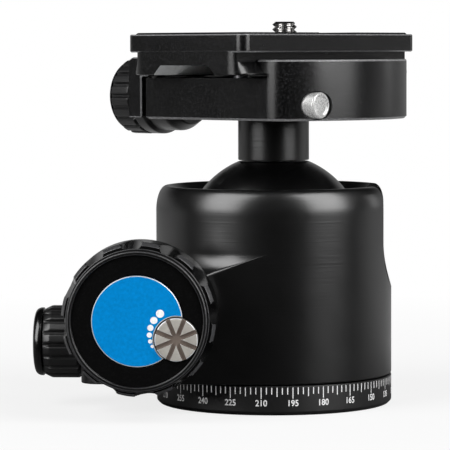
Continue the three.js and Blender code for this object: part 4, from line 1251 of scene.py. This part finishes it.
def build_button():
    radius, stem_end, end = round_reach("safety_button", BUTTON)
    spring, spring_back, spring_front = round_reach("button_spring", BUTTON)
    start, stem = spring_front + CLEARANCE, 1.5
    profile = [
        (0, stem_end, 0), (stem, stem_end, 0.1), (stem, start, 0), (radius, start, 0.15),
        (radius, end - 0.3, 0.12), (radius - 0.3, end, 0.1), (radius - 0.62, end, 0.1),
        (radius - 0.95, end - 0.28, 0.1), (1.1, end - 0.38, 0.3), (0, end - 0.4, 0),
    ]
    button = make("release_button", lathed(profile, 120), BUTTON, "turned_steel")
    finished(button, "safety_button", "bright_steel", "safety_button")

    build_catch_spring(spring, spring_back, spring_front)

    low, high = reach("stop_pin", CLAMP)
    shape = rod((high[0] - low[0]) / 2, low[2], high[2], edge=0.3)
    pin = make("plate_stop", shape, STOP_PIN, "machined_steel")
    finished(pin, "stop_pin", "bright_steel", "stop_pin")


def build_catch_spring(outer, back, front):
    """The button's spring, at the length that it has with the button pressed."""
    travel, wire, turns, steps, sides = 1.3, 0.25, 6, 24, 10
    radius, start, end = outer - wire, back + wire, front - travel - wire
    rows = []
    for i in range(turns * steps + 1):
        turn = TURN * i / steps
        height = start + (end - start) * i / (turns * steps)
        row = []
        for side in np.linspace(0, TURN, sides, endpoint=False):
            out, rise = radius + wire * math.cos(side), wire * math.sin(side)
            row.append((out * math.cos(turn), out * math.sin(turn), height + rise))
        rows.append(row)
    spring = make("catch_spring", skin(rows), BUTTON, "polished_steel")
    finished(spring, "clamp", "bright_steel", "button_spring", sharp=60)


# Plate, pads and camera screw

THREAD = 2.95  # radius of the camera screw's thread, in millimetres


def build_plate():
    sizes = settings().clamp
    low, high = reach("dovetail_plate", CLAMP)
    half_length, bottom, top = high[1], low[2], high[2]
    corner = (high[0], half_length)
    edge, plate_corner = sizes.plate_edge / MM, sizes.plate_corner / MM
    flange = top - 4.25

    def mirrored(half_width, half_v):
        return (-half_width, -half_v), (half_width, half_v)

    def outline(inset):
        return box_outline(*mirrored(*corner), plate_corner, 10, inset)

    insets = (
        (flange, edge), (flange + edge, 0), (top - edge, 0), (top - edge / 3, edge / 3), (top, edge)
    )
    shape = stack([(z, outline(inset)) for z, inset in insets])
    plate = make("plate_body", shape, CLAMP, "satin_black", "edge_grey")
    # The chamfers get a lighter grey finish: painted highlights along the edges.
    paint_faces(plate, 1, lambda normal, at: 0.2 < abs(normal.z) < 0.97)

    tail, root, tail_edge, tail_corner = 18.6, 16.0, 0.5, 5.0
    levels = []
    for z, half, inset in (
        (bottom, tail - 0.25, 0.25),
        (bottom + 0.25, tail, 0),
        (bottom + tail_edge, tail, 0),
        (bottom + tail_edge + tail - root, root, 0),
        (flange + edge * 2, root, 0),
    ):
        widest = box_outline(*mirrored(tail, half_length - 0.02), tail_corner, 8, inset)
        levels.append((z, [(max(-half, min(half, u)), v) for u, v in widest]))
    combine(plate, [cutter(stack(levels), CLAMP, "satin_black")], "UNION")

    wide, narrow, depth = 9.7, 7.6, 2.3
    channel = [
        (-wide - 0.25, bottom - PAST), (wide + 0.25, bottom - PAST), (wide, bottom + 0.2),
        (narrow, bottom + depth), (-narrow, bottom + depth), (-wide, bottom + 0.2),
    ]
    shape = rail(channel, -half_length - PAST, half_length + PAST)
    clip, clip_foot, head_room, pad_corner = 4.65, reach("screw_clip", CLAMP)[0][2], 4, 0.6
    # The channel gets a plain grey: partly bare milled metal, partly painted light.
    cutters = [
        cutter(shape, CLAMP, "milled_grey"),
        bore(SCREW_HIGH[0] + CLEARANCE, bottom - PAST, bottom + head_room, CAMERA_SCREW, sides=96),
        bore(THREAD + CLEARANCE, bottom, top + PAST, CAMERA_SCREW, sides=72),
        bore(clip, clip_foot - CLEARANCE, top + PAST, CAMERA_SCREW, sides=96),
    ]
    pads = [(node, *reach(node, CLAMP)) for node in ("rubber_pad_front", "rubber_pad_back")]
    for _, pad_low, pad_high in pads:
        pocket = box_outline(pad_low - CLEARANCE, pad_high + CLEARANCE, pad_corner, 4)
        cutters.append(cutter(prism(pocket, pad_low[2] - CLEARANCE, top + PAST), CLAMP))
    combine(plate, cutters)
    finished(plate, "plate", "black_anodised", "dovetail_plate", sharp=30)
    for pad in pads:
        build_pad(*pad)
    build_camera_screw()


def build_pad(node, low, high):
    """A rubber pad with rounded ribs across it."""
    pitch = settings().clamp.pad_pitch / MM
    ribs = max(1, round((high[1] - low[1]) / pitch))
    steps, depth, edge = 10, 0.42, 0.25
    profile = [(low[1], low[2])]
    for i in range(ribs * steps + 1):
        rise = math.sin(math.pi * (i % steps) / steps) ** 0.7
        v = low[1] + (high[1] - low[1]) * i / (ribs * steps)
        profile.append((v, high[2] - depth * (1 - rise)))
    profile.append((high[1], low[2]))
    rows = []
    for u, inset in ((low[0], edge), (low[0] + edge, 0), (high[0] - edge, 0), (high[0], edge)):
        rows.append([(u, v, z - (inset if z > high[2] - 0.5 else 0)) for v, z in profile[::-1]])
    pad = make(node.replace("rubber_pad", "ribbed_pad"), skin(rows), CLAMP, "rubber_black")
    finished(pad, "plate", "black_rubber", node, sharp=40)


def build_camera_screw():
    pitch = settings().clamp.thread_pitch / MM
    foot, tip = SCREW_LOW[2], SCREW_HIGH[2]
    head, head_top = (SCREW_HIGH[0] - SCREW_LOW[0]) / 2, foot + 2
    shank_top, head_edge, neck = head_top + 3.6, 0.4, 0.3
    depth, taper, slope = 0.55, 0.75, 1.15

    def limit(height):
        return min(THREAD, THREAD - taper + (tip - height) * slope)

    rows = ring_rows(
        (0, foot), (head - head_edge, foot), (head, foot + head_edge), (head, head_top - neck),
        (head - neck, head_top), (THREAD - neck, head_top), (THREAD - neck, shank_top),
    )
    rows += threaded(THREAD - depth, THREAD, pitch, shank_top + neck, tip, limit)
    rows += ring_rows((0, tip))
    screw = make("mounting_screw", skin(rows), CAMERA_SCREW, "polished_steel")
    half_slot, slot_depth, slot_corner = 0.6, 1, 0.3
    slot = box_outline((-head - PAST, -half_slot), (head + PAST, half_slot), slot_corner, 2)
    combine(screw, [cutter(prism(slot, foot - PAST, foot + slot_depth), CAMERA_SCREW)])
    finished(screw, "camera_screw", "bright_steel", "camera_screw", sharp=38)


# Pieces that keep their frame shape

CARRIED = {
    "satin_black": "bottom_plate lock_bore_plug",
    "polished_steel": "jaw_guide_pin_1 jaw_guide_pin_2 jaw_spring_1 jaw_spring_2",
    "machined_steel": "hub_nut main_lock_shaft lock_cone pan_lock_screw stem_bolt clamp_screw "
    "screw_clip",
    "turned_brass": "upper_seat_ring main_lock_bush brake_shoe pan_lock_bush pan_brake_shoe",
    "moulded_acetal": "lower_seat lower_thrust_washer upper_thrust_washer ball_liner "
    "main_knob_washer pan_knob_washer clamp_knob_washer",
}


def dress_carried():
    for name, nodes in CARRIED.items():
        for node in nodes.split():
            for slot in frame["nodes"][node].material_slots:
                slot.material = finish(name)


# Stage


def soft_lamp(name, azimuth, elevation, distance, width, height, watts):
    """A soft rectangle of light that points at the object's middle. Its sizes are in metres."""
    a, e = math.radians(azimuth), math.radians(elevation)
    aim_height = 0.045
    aim = AXIS + UP * aim_height
    data = bpy.data.lights.new(name, "AREA")
    data.shape = "RECTANGLE"
    data.size, data.size_y = width, height
    data.energy = watts
    lamp = show(name, data)
    away = Vector((math.sin(a) * math.cos(e), -math.cos(a) * math.cos(e), math.sin(e)))
    lamp.location = aim + away * distance
    lamp.rotation_mode = "QUATERNION"
    lamp.rotation_quaternion = (aim - lamp.location).to_track_quat("-Z", "Y")


def build_stage():
    scene = bpy.context.scene
    view = settings().stage
    scene.view_settings.view_transform = "Standard"

    camera = show("camera", bpy.data.cameras.new("camera"))
    camera.data.sensor_width = 36
    camera.data.lens = view.lens
    camera.data.clip_start, camera.data.clip_end = 0.05, 20
    a, tilt, heading = view.azimuth, view.tilt, view.azimuth + view.pan
    away = Vector((math.sin(a), -math.cos(a), 0)) * view.distance
    camera.location = AXIS + away + UP * view.height
    look = Vector((-math.sin(heading), math.cos(heading), 0)) * math.cos(tilt)
    look -= UP * math.sin(tilt)
    roll = Matrix.Rotation(view.roll, 4, "Z").to_quaternion()
    camera.rotation_mode = "QUATERNION"
    camera.rotation_quaternion = look.to_track_quat("-Z", "Y") @ roll
    scene.camera = camera

    soft_lamp("left_lamp", -51, 31, 1.1, 0.75, 1.15, view.left_light)
    soft_lamp("right_lamp", 57, 31, 1.1, 0.75, 1.15, view.right_light)
    soft_lamp("back_lamp", 118, 12, 1.2, 0.25, 0.4, view.back_light)

    side = 2e3
    corners = [(-side, -side, 0), (side, -side, 0), (side, side, 0), (-side, side, 0)]
    floor = make("floor", (corners, [(0, 1, 2, 3)]), BASE)
    floor.data.materials.append(floor_finish(view))
    scene.world = studio_world()


def mixed(tree, weight, first, second):
    """Two shaders mixed: the first where the weight is 0, the second where it is 1."""
    inputs = {0: weight, 1: first.outputs[0], 2: second.outputs[0]}
    return add(tree, "ShaderNodeMixShader", inputs)


def floor_finish(view):
    """A pale floor that turns white away from the object, and is dimmer in reflections."""
    material = bpy.data.materials.new("pale_floor")
    material.use_nodes = True
    tree = material.node_tree
    tree.nodes.clear()
    ray = add(tree, "ShaderNodeLightPath").outputs
    front, back, near, far = -0.05, 0.12, 0.07, 0.3  # metres from the axis
    pale = add(tree, "ShaderNodeBsdfDiffuse", {"Color": (*view.floor, 1)})
    depth = ranged(tree, split_point(tree)["Y"], 0.01, 0.6, front, back)
    dim = add(tree, "ShaderNodeBsdfDiffuse", {"Color": depth})
    glow = add(tree, "ShaderNodeEmission", {"Color": (1, 1, 1, 1)})
    away = add(tree, "ShaderNodeVectorMath", {0: surface_point(tree)}, operation="LENGTH")
    white = ranged(tree, away.outputs["Value"], 0.8, 1, near, far)
    seen = {0: ray["Is Camera Ray"], 1: white}
    weight = add(tree, "ShaderNodeMath", seen, operation="MULTIPLY").outputs[0]
    surface = mixed(tree, weight, mixed(tree, ray["Is Glossy Ray"], pale, dim), glow)
    add(tree, "ShaderNodeOutputMaterial", {"Surface": surface.outputs[0]})
    return material


def studio_world():
    """White to the camera, a bright backdrop behind in reflections, and a dim room elsewhere."""
    world = bpy.data.worlds.new("studio")
    world.use_nodes = True
    tree = world.node_tree
    tree.nodes.clear()
    ray = add(tree, "ShaderNodeLightPath").outputs
    white = add(tree, "ShaderNodeBackground", {"Color": (1, 1, 1, 1), "Strength": 1})
    soft = add(tree, "ShaderNodeBackground", {"Color": (1, 1, 1, 1), "Strength": 0.15})
    behind_and_down = (0, 1, -1.8)
    toward = {0: add(tree, "ShaderNodeTexCoord").outputs["Generated"], 1: behind_and_down}
    behind = add(tree, "ShaderNodeVectorMath", toward, operation="DOT_PRODUCT").outputs["Value"]
    bright = ranged(tree, behind, 0.002, 0.4, -0.1, 0.4)
    room = add(tree, "ShaderNodeBackground", {"Strength": bright})
    lit = mixed(tree, ray["Is Glossy Ray"], soft, room)
    surface = mixed(tree, ray["Is Camera Ray"], lit, white)
    add(tree, "ShaderNodeOutputWorld", {"Surface": surface.outputs[0]})
    return world


# Operators


class BALLHEAD_OT_stage(bpy.types.Operator):
    """Set up the camera, lamps, floor and world"""

    bl_idname = "ball_head.stage"
    bl_label = "Stage"

    def execute(self, context):
        build_stage()
        return {"FINISHED"}


class BALLHEAD_OT_base(bpy.types.Operator):
    """Build the graduated base and its threaded bushing"""

    bl_idname = "ball_head.base"
    bl_label = "Pan base"

    def execute(self, context):
        build_base()
        return {"FINISHED"}


class BALLHEAD_OT_housing(bpy.types.Operator):
    """Build the housing with its boss, bores and drop notch"""

    bl_idname = "ball_head.housing"
    bl_label = "Housing"

    def execute(self, context):
        build_housing()
        return {"FINISHED"}


class BALLHEAD_OT_ball(bpy.types.Operator):
    """Build the ball and its neck"""

    bl_idname = "ball_head.ball"
    bl_label = "Ball and neck"

    def execute(self, context):
        build_ball()
        return {"FINISHED"}


class BALLHEAD_OT_lock_knob(bpy.types.Operator):
    """Build the lock knob with its grip, face plate, dots and friction dial"""

    bl_idname = "ball_head.lock_knob"
    bl_label = "Lock knob"

    def execute(self, context):
        build_lock_knob()
        return {"FINISHED"}


class BALLHEAD_OT_small_knobs(bpy.types.Operator):
    """Build the pan knob and the clamp knob"""

    bl_idname = "ball_head.small_knobs"
    bl_label = "Small knobs"

    def execute(self, context):
        build_pan_knob()
        build_clamp_knob()
        return {"FINISHED"}


class BALLHEAD_OT_clamp(bpy.types.Operator):
    """Build the clamp, its jaw, the safety button with its spring, and the stop pin"""

    bl_idname = "ball_head.clamp"
    bl_label = "Clamp"

    def execute(self, context):
        build_clamp()
        build_button()
        return {"FINISHED"}


class BALLHEAD_OT_plate(bpy.types.Operator):
    """Build the dovetail plate, its pads and the camera screw"""

    bl_idname = "ball_head.plate"
    bl_label = "Plate"

    def execute(self, context):
        build_plate()
        return {"FINISHED"}


class BALLHEAD_OT_carried(bpy.types.Operator):
    """Give the pieces that keep their frame shape their finishes"""

    bl_idname = "ball_head.carried"
    bl_label = "Inner pieces"

    def execute(self, context):
        dress_carried()
        return {"FINISHED"}


BUILD_ORDER = (
    BALLHEAD_OT_stage,
    BALLHEAD_OT_base,
    BALLHEAD_OT_housing,
    BALLHEAD_OT_ball,
    BALLHEAD_OT_lock_knob,
    BALLHEAD_OT_small_knobs,
    BALLHEAD_OT_clamp,
    BALLHEAD_OT_plate,
    BALLHEAD_OT_carried,
)


class BALLHEAD_PT_panel(bpy.types.Panel):
    """Lists the steps and the sizes and colours that they use"""

    bl_idname = "BALLHEAD_PT_panel"
    bl_label = "Ball head"
    bl_space_type = "VIEW_3D"
    bl_region_type = "UI"
    bl_category = "Ball head"

    def draw(self, context):
        layout = self.layout
        for step in BUILD_ORDER:
            layout.operator(step.bl_idname)
        for group in ("housing", "base", "knobs", "clamp", "colours", "stage"):
            box = layout.box()
            box.label(text=group.capitalize())
            values = getattr(context.scene.ball_head, group)
            for key in values.__annotations__:
                box.prop(values, key)


CLASSES = (
    HousingSizes,
    BaseSizes,
    KnobSizes,
    ClampSizes,
    Colours,
    StageSettings,
    BallHeadSettings,
    *BUILD_ORDER,
    BALLHEAD_PT_panel,
)


def register():
    for each in CLASSES:
        bpy.utils.register_class(each)
    bpy.types.Scene.ball_head = PointerProperty(type=BallHeadSettings)


def unregister():
    del bpy.types.Scene.ball_head
    for each in reversed(CLASSES):
        bpy.utils.unregister_class(each)


def main():
    register()
    for step in BUILD_ORDER:
        group, name = step.bl_idname.split(".")
        getattr(getattr(bpy.ops, group), name)()


if __name__ == "__main__":
    main()
